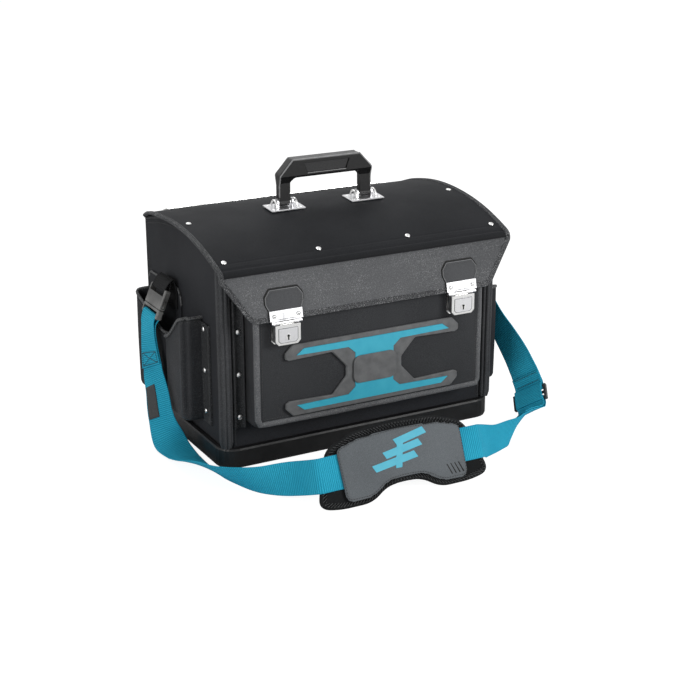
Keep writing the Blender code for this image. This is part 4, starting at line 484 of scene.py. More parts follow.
# A darker copy of the nickel, used only as painted shade.
nickel_painted_shade = plated("nickel_painted_shade", "77787a", 0.34)
dress(nickel, "lid_front_bar", "lid_handle_bar", "hinge_body_leaf", "hinge_lid_leaf", "hinge_pin")
for side, hand in sides:
    dress(nickel, "front_rivets_" + hand, hand + "_side_rivets", "handle_pin_" + hand, hand + "_lock_cover",
          hand + "_lock_pin", hand + "_lock_base", hand + "_lock_cylinder")
    dress(satin_nickel, "handle_plate_" + hand, hand + "_lock_strike")


# The front pocket stands proud of the body: cloth over thin board with rolled side and lower edges,
# open at the top under the flap, and sewn round its border to the front panel.
pocket_swell = 0.0022
pocket_corner = 0.0085
quarter = [math.radians(90) * step / 6 for step in range(7)]


def pocket_ring(inset, z, half, face, back):
    """The pocket's plan at one height: down the left side, across the face and back."""
    ring = [(-half + inset, back, z)]
    for angle in quarter:
        ring.append((-half + inset + pocket_corner * (1 - math.cos(angle)),
                     face + inset + pocket_corner * (1 - math.sin(angle)), z))
    steps = 44
    start = -half + inset + pocket_corner
    for step in range(1, steps):
        swell = 0 if inset > 0.004 else pocket_swell * math.sin(math.pi * step / steps) ** 0.5
        ring.append((start - 2 * start * step / steps, face + inset - swell, z))
    return ring + [(-x, y, level) for x, y, level in reversed(ring[:8])]


def even(path, count):
    """A path cut into count equal stretches."""
    lengths = [0.0]
    for a, b in zip(path, path[1:]):
        lengths.append(lengths[-1] + (Vector(b) - Vector(a)).length)
    made = []
    place = 0
    for step in range(count + 1):
        due = lengths[-1] * step / count
        while place < len(path) - 2 and lengths[place + 1] < due:
            place += 1
        span = max(1e-9, lengths[place + 1] - lengths[place])
        made.append(Vector(path[place]).lerp(Vector(path[place + 1]), (due - lengths[place]) / span))
    return made


pocket_cloth = coated_cloth("pocket_cloth", "2f3032", "444547", 0.0016, 0.60, 0.6)
low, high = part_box("front_pocket")
half = high.x
face = low.y + 0.0016
edge = 0.008
levels = [(edge * (1 - math.sin(angle)), low.z + edge * (1 - math.cos(angle))) for angle in quarter]
levels += [(0, low.z + edge + (high.z - low.z - edge) * step / 20) for step in range(1, 21)]
rings = [[Vector(spot) + sway(spot, 0.0008, 11.0) * Vector((0.4, 1, 0.3))
          for spot in pocket_ring(inset, z, half, face, high.y)] for inset, z in levels]
floor_level = low.z + 0.0006
floor_row = [Vector((spot.x * 0.97, max(spot.y, low.y + 0.016), floor_level)) for spot in rings[0]]
middle_row = [Vector((spot.x * 0.97, high.y, floor_level)) for spot in rings[0]]
thicken(add_piece("front_pocket_cloth", cloth_mesh([middle_row, floor_row] + rings), pocket_cloth,
                  "front_pocket"), 0.0026)
lining = [[Vector((x, high.y - 0.0015, z)) for x in (-half + 0.004, half - 0.004)]
          for z in (low.z + 0.003, high.z)]
thicken(add_piece("front_pocket_lining", cloth_mesh(lining), pocket_cloth), 0.0012, 0)


def swelled(spot):
    """How far the pocket's face stands out at a point of it."""
    return pocket_swell * max(0.0, math.sin(math.pi * (spot.x + half) / (2 * half))) ** 0.5


seam_half, seam_foot, seam_top = half - 0.0125, low.z + 0.014, 0.25
border = [Vector((x, face - 0.0012, z)) for x, z in ((-seam_half, seam_top), (-seam_half, seam_foot),
                                                     (seam_half, seam_foot), (seam_half, seam_top))]
seam = []
for start, end in zip(border, border[1:]):
    for step in range(20):
        spot = start.lerp(end, step / 20)
        seam.append((spot - Vector((0, swelled(spot) - 0.0012, 0)), (0, -1, 0)))
add_piece("front_pocket_stitches", stitch_mesh([seam]), dark_thread)
# The rolled border is a lighter cloth than the pocket: a painted highlight along the rolled edges.
border_cloth_painted_light = coated_cloth("border_cloth_painted_light", "4a4b4d", "747577", 0.0013, 0.58, 0.2, 0.5)
rolled = [(-half + 0.0054, face + 0.0024, 0.272), (-half + 0.0054, face + 0.0024, low.z + 0.012),
          (-half + 0.0085, face + 0.0018, low.z + 0.0060)]
rolled += [(-x, y, z) for x, y, z in reversed(rolled)]
border_path = [spot - Vector((0, swelled(spot) * (spot.z < low.z + 0.010), 0)) + sway(spot, 0.0006, 16.0)
               for spot in even(rolled, 90)]
add_piece("front_pocket_border", cord_mesh(border_path, 0.0048, 12), border_cloth_painted_light)


# Each end of the case has a holster pocket, a tube pocket with a curved mouth and a riveted strip.
# They are single cloth on the body, sewn at their edges, with a bound rim; the right end is the
# left one turned half round.
panel = -body_x - 0.0003
turned = Matrix.Rotation(math.pi, 4, "Z")
rim_binding = coated_cloth("rim_binding", "303132", "6a6b6c", 0.0011, 0.5, 0.1, 0.8)
pouch_foot = 0.054


def side_piece(name, mesh, finish, *nodes):
    """The left end's piece and, turned half round, the right end's."""
    other = mesh.copy()
    other.transform(turned)
    return [add_piece(hand + "_" + name, shape, finish, *(hand + "_" + node for node in nodes))
            for hand, shape in (("left", mesh), ("right", other))]


def bent(before, corner, after, near, far, steps):
    """A corner rounded off between a near and a far distance from it."""
    start = corner + (before - corner).normalized() * near
    end = corner + (after - corner).normalized() * far
    return [start * (1 - t) ** 2 + corner * 2 * t * (1 - t) + end * t * t
            for t in (step / steps for step in range(steps + 1))]


def rounded(path, *radii):
    """An open plan path with its inner corners rounded, each by its radius."""
    path = [Vector(spot) for spot in path]
    made = path[:1]
    for place, (before, corner, after) in enumerate(zip(path, path[1:], path[2:])):
        radius = radii[place % len(radii)]
        made += bent(before, corner, after, radius, radius, 5)
    return made + path[-1:]


def pouch_rows(plan, rim, slack=0.0, pleat=0.0):
    """A pouch's skin from its rounded foot to its rim, a height for each point of the plan.
    A pleat is a ridge and a groove pressed down its front corner."""
    centre = sum(plan, Vector((0, 0))) / len(plan)
    rows = []
    for share, level in ((0.0, 0.0), (0.55, 0.0), (0.86, 0.0006), (0.95, 0.0028), (1.0, 0.0075)):
        along = share if share < 0.9 else 0.4 + 0.6 * share
        rows.append([Vector((panel + (spot.x - panel) * share, centre.y + (spot.y - centre.y) * along,
                             pouch_foot + level)) for spot in plan])
    steps = 16
    base = pouch_foot + 0.0075
    for step in range(1, steps + 1):
        row = []
        for place, spot in enumerate(plan):
            z = base + (rim[place] - base) * step / steps
            share = place / (len(plan) - 1)
            middle = math.sin(math.pi * share)
            bulge = slack * middle * math.sin(math.pi * step / steps)
            pressed = pleat * (math.exp(-((share - 0.79) / 0.022) ** 2)
                               - 0.5 * math.exp(-((share - 0.72) / 0.026) ** 2))
            row.append(Vector((spot.x - bulge + pressed, spot.y + pressed, z))
                       + sway((spot.x, spot.y, z), 0.0011 * middle, 16.0))
        rows.append(row)
    return rows


pouch_cloth = 0.0024
holster_rear, holster_front = 0.1313, 0.0053
holster_deep = panel - 0.030
plan = even(rounded([(panel, holster_front), (holster_deep, holster_front), (holster_deep, holster_rear),
                     (panel, holster_rear)], 0.014), 40)
rows = pouch_rows(plan, [0.212 - 0.038 * (holster_rear - spot.y) / 0.126 for spot in plan], 0.0012)
for made in side_piece("holster_cloth", cloth_mesh(rows), body_cloth, "holster_pocket"):
    thicken(made, pouch_cloth)
rim = [spot + Vector((0.0010, 0, 0)) for spot in rows[-1]]
side_piece("holster_binding", cord_mesh(rim, 0.0023, 8, 1.4), rim_binding)
seam = [(spot - Vector((0.0008, 0, 0.0065)), (-1, 0, 0)) for spot in rows[-1][8:33]]
side_piece("holster_stitches", stitch_mesh([seam]), dark_thread)

back_plan = rounded([(holster_rear, 0.056), (holster_rear, 0.240), (holster_front + 0.008, 0.240),
                     (holster_front, 0.225), (holster_front, 0.056)], 0.009)
work = bmesh.new()
work.faces.new([work.verts.new((panel - 0.0013, y, z)) for y, z in back_plan])
for made in side_piece("holster_back", kept(work), body_cloth):
    thicken(made, 0.0020, 0)
rim = [(panel - 0.0012, y, z) for y, z in back_plan[1:-1]]
side_piece("holster_back_binding", cord_mesh(rim, 0.0019, 8, 1.3), rim_binding)

tube_width = 0.075
tube_rear = holster_front - 0.0015
tube_front = tube_rear - tube_width
tube_deep = panel - 0.032
plan = even(rounded([(panel, tube_rear), (tube_deep, tube_rear), (tube_deep, tube_front),
                     (panel, tube_front)], 0.007, 0.014), 48)
rim = [0.174 + 0.046 * (1 - math.cos(math.pi * min(1, (tube_rear - spot.y) / tube_width))) / 2
       for spot in plan]
rows = pouch_rows(plan, rim, pleat=0.0030)
tube_cloth = coated_cloth("tube_cloth", "27282a", "424346", 0.0015, 0.5, 0.3, 0.10)
for made in side_piece("tube_cloth", cloth_mesh(rows), tube_cloth, "tube_pocket"):
    thicken(made, pouch_cloth)
side_piece("tube_binding", cord_mesh(rows[-1], 0.0024, 8, 1.4), rim_binding)
seam = []
for spot in rows[-2]:
    out = Vector((spot.x - panel, spot.y - (tube_rear + tube_front) / 2, 0)).normalized()
    seam.append((spot + Vector((0, 0, 0.004)) + out * 0.0006, out))
side_piece("tube_stitches", stitch_mesh([seam]), dark_thread)

strip_rear = tube_front - 0.0003
section = [(0, 0), (-0.0022, 0), (-0.0030, -0.0008), (-0.0030, -0.0020), (-0.0022, -0.0034),
           (-0.0021, -0.0140), (-0.0022, -0.0248), (-0.0033, -0.0256), (-0.0036, -0.0268),
           (-0.0030, -0.0278), (0, -0.0280)]
rows = bar_rows([(out, across, 0) for out, across in section], (panel, strip_rear, pouch_foot),
                (panel, strip_rear, 0.214), 20)
side_piece("strip_side_cloth", cloth_mesh(rows), strip_cloth, "pocket_strip")
seam = [((panel - 0.0024, strip_rear - 0.023, z), (-1, 0, 0)) for z in (0.058, 0.211)]
side_piece("strip_side_stitches", stitch_mesh([seam]), dark_thread)


# The lid is one sheet of cloth-covered board: it arches from the hinge to a fold at the front and
# hangs down as the flap. A hem is turned over along its ends and lower edge and sewn with one row.
lid_back = 0.1479
fold_start = -0.1689
fold_lean = 0.40264
fold_radius = 0.012
fold_y, fold_z = -0.164198, 0.304960
flap_tilt = math.radians(11.5)
flap_y, flap_z = -0.175957, 0.302567
flap_length = 0.066944
lid_half = 0.248
hem_half = lid_half - 0.044
lid_swell = 0.007
corner_radius = 0.009
back_radius = 0.004
back_taper = 0.0128
back_droop = 0.0038
back_angle = math.asin((dome_y - lid_back) / dome_radius)
dome_length = (fold_lean - back_angle) * dome_radius
fold_length = (math.radians(90) + flap_tilt - fold_lean) * fold_radius
flap_start = dome_length + fold_length
sheet_length = flap_start + flap_length
lid_cloths = {"body": "lid", "slot": "lid_cloth"}
lid_metal = {"body": "lid", "slot": "nickel_plate"}


def lid_half_width(reach):
    """Half the sheet's width at a distance along it from the hinge edge."""
    down = reach - flap_start
    if down <= 0:
        into = max(0.0, back_radius - reach)
        drawn_in = back_taper * max(0.0, 1 - reach / 0.12) ** 2
        return lid_half - drawn_in - back_radius + math.sqrt(max(0.0, back_radius ** 2 - into ** 2))
    slant = lid_half + (hem_half - lid_half) * down / flap_length
    into = max(0.0, down - (flap_length - corner_radius))
    return slant - corner_radius + math.sqrt(max(0.0, corner_radius ** 2 - into ** 2))


def lid_spot(reach, x, lift=0.0):
    """The point on the lid's outer face at a distance from the hinge edge, and the way out there."""
    if reach <= dome_length:
        lean = back_angle + reach / dome_radius
        y = dome_y - dome_radius * math.sin(lean)
        z = dome_z + dome_radius * math.cos(lean)
        middle = (lid_back - 0.020 + fold_start) / 2
        span = (lid_back - 0.020 - fold_start) / 2
        z += lid_swell * max(0.0, 1 - ((y - middle) / span) ** 2) * max(0.0, 1 - (x / lid_half) ** 2)
        z -= (back_droop * max(0.0, 1 - reach / 0.040) ** 1.5
              * min(1.0, max(0.0, (abs(x) - 0.200) / 0.030)))
    elif reach <= flap_start:
        lean = fold_lean + (reach - dome_length) / fold_radius
        y = fold_y - fold_radius * math.sin(lean)
        z = fold_z + fold_radius * math.cos(lean)
    else:
        lean = math.radians(90) + flap_tilt
        y = flap_y - (reach - flap_start) * math.sin(flap_tilt)
        z = flap_z - (reach - flap_start) * math.cos(flap_tilt)
    out = Vector((0, -math.sin(lean), math.cos(lean)))
    return Vector((x, y, z)) + out * lift, out


def crease(reach):
    """The lines pressed above, along and below the fold."""
    return -sum(deep * math.exp(-((reach - at) / wide) ** 2) for at, wide, deep in (
        (dome_length - 0.0150, 0.0016, 0.0006), (dome_length - 0.0020, 0.0024, 0.0015),
        (dome_length + 0.0090, 0.0022, -0.0006), (flap_start - 0.0010, 0.0020, 0.0017),
        (flap_start + 0.0030, 0.0018, -0.0011), (flap_start + 0.0110, 0.0020, 0.0007)))


def ripple(reach, x):
    """The slow unevenness of the lid's face."""
    return noise.noise(Vector((x * 7, reach * 9, 0.3))) * 0.0011


# The flap is painted lighter below the fold as a painted sheen, with painted shade along the fold and
# towards its right end.
lid_cloth = coated_cloth("lid_cloth", "202123", "303134", 0.0016, 0.60, 0.45, 0.45,
                         below=("535456", "68696b"))
reaches = [0.0, 0.0015, 0.004] + [dome_length * step / 44 for step in range(1, 41)]
reaches += [dome_length - 0.018 + 0.001 * step for step in range(int((fold_length + 0.034) / 0.001))]
even_from = flap_start + 0.0165
reaches += [even_from + (sheet_length - even_from) * math.sin(math.radians(90) * step / 22)
            for step in range(23)]
rows = []
for reach in reaches:
    width = lid_half_width(reach) - 0.0006
    row = []
    for step in range(57):
        x = width * (step - 28) / 28
        spot, out = lid_spot(reach, x)
        row.append(spot + out * (crease(reach) + ripple(reach, x) * min(1.0, reach / 0.05) - 0.0002))
    rows.append(row)
thicken(add_piece("lid_sheet", cloth_mesh(rows), lid_cloth, "lid_cover", **lid_cloths), 0.0036)


def lid_border(inset, start=0.0040):
    """The hem line that runs an inset inside the sheet's free border, as (reach, x)."""
    count = 70
    path = []
    for step in range(count + 1):
        reach = start + (sheet_length - start) * math.sin(math.radians(90) * step / count)
        path.append(Vector((reach, lid_half_width(min(reach, sheet_length)))))
    path.append(Vector((sheet_length, 0)))
    moved = []
    for place, spot in enumerate(path):
        way = (path[min(place + 1, len(path) - 1)] - path[max(place - 1, 0)]).normalized()
        moved.append(spot + Vector((way.y, -way.x)) * inset)
    moved[-1] = Vector((sheet_length - inset, 0))
    return moved + [Vector((spot.x, -spot.y)) for spot in reversed(moved[:-1])]


rows = []
for inset, lift in ((-0.0004, -0.0022), (-0.0009, -0.0006), (-0.0003, 0.0012), (0.0010, 0.0018),
                    (0.0022, 0.0012), (0.0032, 0.0003), (0.0042, 0.0004), (0.0052, 0.0013),
                    (0.0063, 0.0013), (0.0072, 0.0004), (0.0076, -0.0006)):
    rows.append([lid_spot(min(max(reach, 0), sheet_length + 0.001), x,
                          lift + ripple(reach, x) * min(1.0, reach / 0.05))[0]
                 for reach, x in lid_border(inset)])
hem_cloth = coated_cloth("hem_cloth", "2c2d2f", "5a5b5d", 0.0013, 0.58, 0.2, 0.9)
add_piece("lid_hem", cloth_mesh(rows), hem_cloth, **lid_cloths)
seam = [lid_spot(reach, x, 0.0006 + ripple(reach, x)) for reach, x in lid_border(0.0036)]
add_piece("lid_stitches", stitch_mesh([seam]), sewing_thread("lid_thread", "77787a"), **lid_cloths)


# Each lock has a leather tab sewn to the flap, a strike plate held by two small rivets, and a hinged
# cover with a keyhole that closes over the base plate on the pocket.
def prism(outline, start, end):
    """A slab from an (x, z) outline, between two depths."""
    work = bmesh.new()
    front, back = [[work.verts.new((x, depth, z)) for x, z in outline] for depth in (start, end)]
    work.faces.new(front)
    work.faces.new(back[::-1])
    for place in range(len(outline)):
        after = (place + 1) % len(outline)
        work.faces.new((front[place], back[place], back[after], front[after]))
    return kept(work, True)


def rivet_mesh(spots, radius, height):
    """Small domed rivets, each at a point with its way out."""
    work = bmesh.new()
    turn = [2 * math.pi * step / 20 for step in range(20)]
    for point, out in spots:
        side = out.orthogonal().normalized()
        up = out.cross(side)
        rings = [[work.verts.new(point + out * height * rise
                                 + (side * math.cos(angle) + up * math.sin(angle)) * radius * share)
                  for angle in turn]
                 for share, rise in ((1.0, -0.2), (1.0, 0.25), (0.86, 0.68), (0.58, 0.92), (0.34, 1.0),
                                     (0.24, 0.72))]
        for lower, upper in zip(rings, rings[1:]):
            for step in range(20):
                after = (step + 1) % 20
                work.faces.new((lower[step], lower[after], upper[after], upper[step])).smooth = True
        work.faces.new(rings[-1]).smooth = True
    return kept(work)


tab_leather = coated_cloth("tab_leather", "454648", "5a5b5d", 0.0019, 0.60, 0.15)
tab_edge = coated_cloth("tab_edge", "6a6b6c", "939495", 0.0012, 0.6, 0.0)
# Black for the keyholes and pad slots, and as a painted shadow under the lock tabs.
holes_and_painted_shadow = plain("holes_and_painted_shadow_black", "050505", "101010", 0.8, (300.0,))
lock_spacing = 0.1505
cover_face = -0.197653
key_z, bow_radius, slit_half = 0.212667, 0.0020, 0.0011
tab_seam = [(-23.6, 16.5), (-26.6, 26), (-27, 34.4), (-20.8, 42.6)]
tab_seam += [(-across, up) for across, up in reversed(tab_seam)]
tab_outline = [(-25, 1), (-25, 15.2), (-30, 25.6), (-30, 35.7), (-22.4, 46)]
tab_outline += [(-across, up) for across, up in reversed(tab_outline)]
cover_outline = [(-15.6, 226.5), (15.6, 226.5), (15.6, 208.0), (12.4, 204.6), (-12.4, 204.6),
                 (-15.6, 208.0)]
for side, hand in sides:
    dress(tab_leather, hand + "_lock_tab")
    centre = side * lock_spacing

    def tab_spot(across, up, lift):
        """A point over the flap, in millimetres across from the lock's middle and up from the hem."""
        return lid_spot(sheet_length - up * 0.001, centre + across * 0.001, lift)

    seam = [tab_spot(across, up, 0.0025) for across, up in tab_seam]
    add_piece(hand + "_tab_stitches", stitch_mesh([seam], 0.0036, 0.0026), dark_thread, **lid_cloths)
    # Two cords run round each tab: a pale edge, and a black cord just outside it that is a painted shadow
    # under the tab.
    for part, lift, radius, outset, finish in (("edge", 0.0021, 0.0007, 1.0, tab_edge),
                                               ("foot", 0.0005, 0.0013, 1.03, holes_and_painted_shadow)):
        line = [tab_spot(across * outset, up * outset, lift)[0] for across, up in tab_outline]
        add_piece("%s_tab_%s" % (hand, part), cord_mesh(even(line, 80), radius, 6), finish, **lid_cloths)
    studs = [tab_spot(across, 7.8, 0.0042) for across in (-19.5, 19.5)]
    add_piece(hand + "_strike_rivets", rivet_mesh(studs, 0.0032, 0.0016), nickel, **lid_metal)
    # Dark rings round the strike rivets: painted shadow where each rivet meets the plate.
    rims = [(point - out * 0.0002, out) for point, out in studs]
    add_piece(hand + "_strike_rivet_shade_rings", rivet_mesh(rims, 0.0039, 0.0004), nickel_painted_shade, **lid_metal)
    raised = [[tab_spot(across, up, lift)[0] for across, lift in (
        (-14.4, 0.0036), (-13.6, 0.0044), (0, 0.0045), (13.6, 0.0044), (14.4, 0.0036))]
              for up in (1.2, 4, 8, 12.5)]
    add_piece(hand + "_strike_middle", cloth_mesh(raised), satin_nickel, **lid_metal)
    # A dark line along the strike's step: painted shade.
    line = [tab_spot(across, 3.6, 0.0046)[0] for across in (-13.6, 0, 13.6)]
    add_piece(hand + "_strike_step", cord_mesh(line, 0.00055, 6), nickel_painted_shade, **lid_metal)
    on_cover = {"body": hand + "_cover", "slot": "nickel_plate"}
    outline = [(centre + across * 0.001, up * 0.001) for across, up in cover_outline]
    soften(add_piece(hand + "_cover_panel", prism(outline, cover_face - 0.0003, cover_face + 0.0003),
                     satin_nickel, **on_cover), 0.0002)
    # A dark line round the cover's outline: painted shade in its groove.
    line = [Vector((x, cover_face - 0.0001, z)) for x, z in outline + outline[:1]]
    add_piece(hand + "_cover_groove", cord_mesh(even(line, 60)[:-1], 0.00055, 6, closed=True), nickel_painted_shade,
              **on_cover)
    keyhole = [(centre + bow_radius * math.sin(math.radians(angle)),
                key_z + 0.0021 + bow_radius * math.cos(math.radians(angle)))
               for angle in range(-150, 151, 20)]
    keyhole += [(centre + slit_half, key_z - 0.0043), (centre - slit_half, key_z - 0.0043)]
    add_piece(hand + "_keyhole", prism(keyhole, -0.1987, -0.1981), holes_and_painted_shadow, body=hand + "_cylinder",
              slot="nickel_plate")


# The handle is a black moulding with bevelled shoulders. Its grip has a shallow panel let into the
# front and back, and it turns on a steel pin between the ears of each plate. Pale cords along its shoulders
# and under its panels are painted highlights.
def mottled(finish):
    """The uneven colour of a black moulding."""
    return finish.cloud(160.0, 4.0)


def evaluated(piece):
    """A piece's mesh with its modifiers carried out."""
    bpy.context.view_layer.update()
    return bpy.data.meshes.new_from_object(piece.evaluated_get(bpy.context.evaluated_depsgraph_get()))


grip_plastic = moulded("grip_plastic", mottled, "070708", "171718", (0.26, 0.16, 90.0), 1200.0, 0.2,
                       Specular_IOR_Level=0.34)
# Pale grey on the black moulding: painted highlights along the shoulders and the panels' lower lips.
handle_highlight_plastic = moulded("handle_highlight_ridge", mottled, "6a6a6b", "9a9a9b", (0.30, 0.16, 90.0), 1200.0, 0.2)
on_handle = {"body": "handle", "slot": "grip_plastic"}
low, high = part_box("handle_grip")
middle_y = (low.y + high.y) / 2
faces = (("front", -1, low.y), ("back", 1, high.y))
recess_depth = 0.0022
recess_z = 0.41865
recess = [(-0.040, 0.4268), (0.040, 0.4268), (0.034, 0.4105), (-0.034, 0.4105)]
leg_top = 0.4085
grip_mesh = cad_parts["handle_grip"].data.copy()
grip_mesh.materials.clear()
for vertex in grip_mesh.vertices:
    if abs(vertex.co.x) < 0.067 and vertex.co.z < leg_top:
        below = min(1.0, (leg_top - vertex.co.z) / 0.006)
        foot = min(1.0, max(0.0, (0.402 - vertex.co.z) / 0.041))
        vertex.co.x += math.copysign(below * (0.0085 * foot - 0.0040), vertex.co.x)
grip = add_piece("handle_moulding", grip_mesh, grip_plastic, "handle_grip", **on_handle)
for hand, outward, face in faces:
    cutter = bpy.data.objects.new("grip_recess", prism(recess, face + outward * 0.004,
                                                       face - outward * recess_depth))
    scene.collection.objects.link(cutter)
    cut = grip.modifiers.new("recess", "BOOLEAN")
    cut.operation = "DIFFERENCE"
    cut.object = cutter
    applied = evaluated(grip)
    grip.modifiers.clear()
    grip.data = applied
    bpy.data.objects.remove(cutter)
grip.data.materials.clear()
grip.data.materials.append(grip_plastic.material)
rubber_panel = plain("grip_panel", "1a1a1b", "2c2c2d", 0.72, (400.0,), (1500.0,), 0.7, 0.4)
smaller = [(x * 0.97, recess_z + (z - recess_z) * 0.93) for x, z in recess]
for hand, outward, face in faces:
    floor_y = face - outward * recess_depth
    insert = prism(smaller, floor_y + outward * 0.0004, floor_y - outward * 0.0006)
    soften(add_piece("grip_panel_" + hand, insert, rubber_panel, **on_handle), 0.0003, 2)
leg, shoulder = (0.0794, 0.0046), (0.0794, 0.0090)
for hand, outward, face in faces:
    crown = [(*leg, 0.376), (*leg, 0.394), (*shoulder, 0.4092), (0.0578, 0.0090, 0.4328)]
    crown = [(-x, deep, z) for x, deep, z in crown] + crown[::-1]
    crown = [Vector((x, middle_y + outward * deep, z)) for x, deep, z in crown]
    add_piece("handle_highlight_ridge_" + hand, cord_mesh(even(crown, 120), 0.0012), handle_highlight_plastic, **on_handle)
    sill = [Vector((x, middle_y + outward * 0.0097, 0.4103)) for x in (-0.0335, 0, 0.0335)]
    add_piece("handle_highlight_sill_" + hand, cord_mesh(sill, 0.0007, 6), handle_highlight_plastic, **on_handle)
pivot_x, pivot_y, pivot_z = 0.0695, -0.0249, 0.3600
plate_reach = (math.asin((dome_y - pivot_y) / dome_radius) - back_angle) * dome_radius
screws = []
loops = []
for side, hand in sides:
    middle, out = lid_spot(plate_reach, side * pivot_x, 0.0031)
    screws += [(middle + Vector((across, deep * 0.997, deep * 0.076)), out)
               for across in (-0.023, 0.023) for deep in (-0.0105, 0.0105)]
    loops += [[Vector((side * pivot_x + across, pivot_y + 0.0105 * math.cos(math.radians(angle)),
                       pivot_z + 0.0112 * math.sin(math.radians(angle)))) for angle in range(-12, 193, 12)]
              for across in (-0.0172, 0.0172)]
add_piece("handle_plate_rivets", rivet_mesh(screws, 0.0024, 0.0009), nickel, **lid_metal)
for place, loop in enumerate(loops):
    add_piece("handle_loop_%d" % (place + 1), cord_mesh(loop, 0.0017, 10), nickel, **lid_metal)


# The pocket's front carries a moulded rubber brace, with a blue inlay in its grooves and a badge
# plate left bare over its middle.
grey_rubber = moulded("grey_rubber", lambda finish: finish.step(finish.cloud(70.0, 4.0), 0.3, 0.7),
                      "525354", "666768", (0.55, 0.15, 200.0), 1000.0, 0.3)
dress(grey_rubber, "front_brace", "brace_badge")
blue_rubber = moulded("blue_trim", lambda finish: finish.cloud(60.0, 4.0), "2a9fbb", "3fb2c8",
                      (0.45, 0.12, 200.0), 1000.0, 0.25)
dress(blue_rubber, "brace_inlay")


# The shoulder strap is 50 mm polyester webbing: close ribs across it, a tight rolled selvedge on
# each side, and its ends turned back round the buckles and sewn with a box of stitches.
rib_pitch, bow_pitch, cord_pitch = 0.0031, 0.0042, 0.0014


def webbing_finish(name, dark, light):
    """Ribbed webbing; its map runs in metres across and along the strap."""
    web = Finish(name)
    across, along, _ = web.parts(web.place("UV"))
    bow = web.calc("SINE", across * (2 * math.pi / bow_pitch)) * 0.3
    ribs = web.calc("SINE", along * (2 * math.pi / rib_pitch) + bow)
    cords = web.calc("SINE", across * (2 * math.pi / cord_pitch))
    edge = web.step(abs(across), 0.0226, 0.0236)
    fibre = web.cloud(900.0, 3.0)
    tone = 0.45 + 0.30 * ribs + 0.08 * cords + (fibre - 0.5) * 0.4 + (web.cloud(14.0, 2.0) - 0.5) * 0.6
    colour = web.mix(web.calc("MAXIMUM", web.calc("MINIMUM", tone, 1.0), 0.0), tint(dark), tint(light))
    height = ribs * 0.42 * (1 - edge) + cords * 0.12 + fibre * 0.22
    web.set(Base_Color=web.mix(edge * 0.25, colour, tint(dark)), Roughness=0.68 + 0.15 * fibre,
            Specular_IOR_Level=0.12, Normal=web.relief(height, 0.85, 0.6))
    return web


def smooth_route(route, pitch):
    """A smooth curve through a route of (centre, across), as stations about a pitch apart."""
    places = [0.0]
    for (start, _), (end, _) in zip(route, route[1:]):
        places.append(places[-1] + (end - start).length)
    last = len(route) - 1
    slopes = []
    for place in range(len(route)):
        low, high = max(place - 1, 0), min(place + 1, last)
        slopes.append([(route[high][part] - route[low][part]) / (places[high] - places[low])
                       for part in (0, 1)])
    made = []
    for place in range(last):
        span = places[place + 1] - places[place]
        steps = max(1, round(span / pitch))
        for t in (step / steps for step in range(steps)):
            weights = (2 * t ** 3 - 3 * t ** 2 + 1, (t ** 3 - 2 * t ** 2 + t) * span,
                       3 * t ** 2 - 2 * t ** 3, (t ** 3 - t ** 2) * span)
            made.append([route[place][part] * weights[0] + slopes[place][part] * weights[1]
                         + route[place + 1][part] * weights[2] + slopes[place + 1][part] * weights[3]
                         for part in (0, 1)])
    return made + [list(route[-1])]


web_width = 0.050
web_thickness = 0.0016
round_bar = 0.0041


def strap_path(route, loop_start, loop_end, sewn):
    """A strap's stations along a route, each end doubled back round its bar where asked, with the
    doubled length sewn down."""
    path = smooth_route(route, 0.006)
    travelled = [0.0]
    for (a, _), (b, _) in zip(path, path[1:]):
        travelled.append(travelled[-1] + (b - a).length)
    total = travelled[-1]
    rows = []
    for place, (centre, across) in enumerate(path):
        way = (path[min(place + 1, len(path) - 1)][0] - path[max(place - 1, 0)][0]).normalized()
        across = (across - way * across.dot(way)).normalized()
        lowest = abs(across.z) * web_width / 2 + web_thickness + 0.0005
        centre = Vector((centre.x, centre.y, max(centre.z, lowest)))
        gone = travelled[place]
        to_bar = min(gone if loop_start else total, total - gone if loop_end else total)
        past = min(1.0, max(0.0, (to_bar - sewn) / 0.012))
        apart = max(0.0012 * (1 - past), round_bar - to_bar / 6)
        rows.append((centre, across, way, across.cross(way).normalized(), apart, gone))
    stations = [(centre + out * apart, across, out) for centre, across, way, out, apart, gone in rows]

    def bend(row, outward):
        centre, across, way, out = row[:4]
        turns = [way * outward * math.sin(math.radians(angle)) + out * math.cos(math.radians(angle))
                 for angle in (30, 60, 90, 120, 150)]
        return [(centre + turn * round_bar, across, turn) for turn in turns]

    def doubled(near_bar):
        return [(centre - out * apart, across, -out)
                for centre, across, way, out, apart, gone in rows if near_bar(gone)]

    if loop_start:
        stations = doubled(lambda gone: gone < sewn)[::-1] + bend(rows[0], -1)[::-1] + stations
    if loop_end:
        stations = stations + bend(rows[-1], 1) + doubled(lambda gone: total - gone < sewn)[::-1]
    return stations


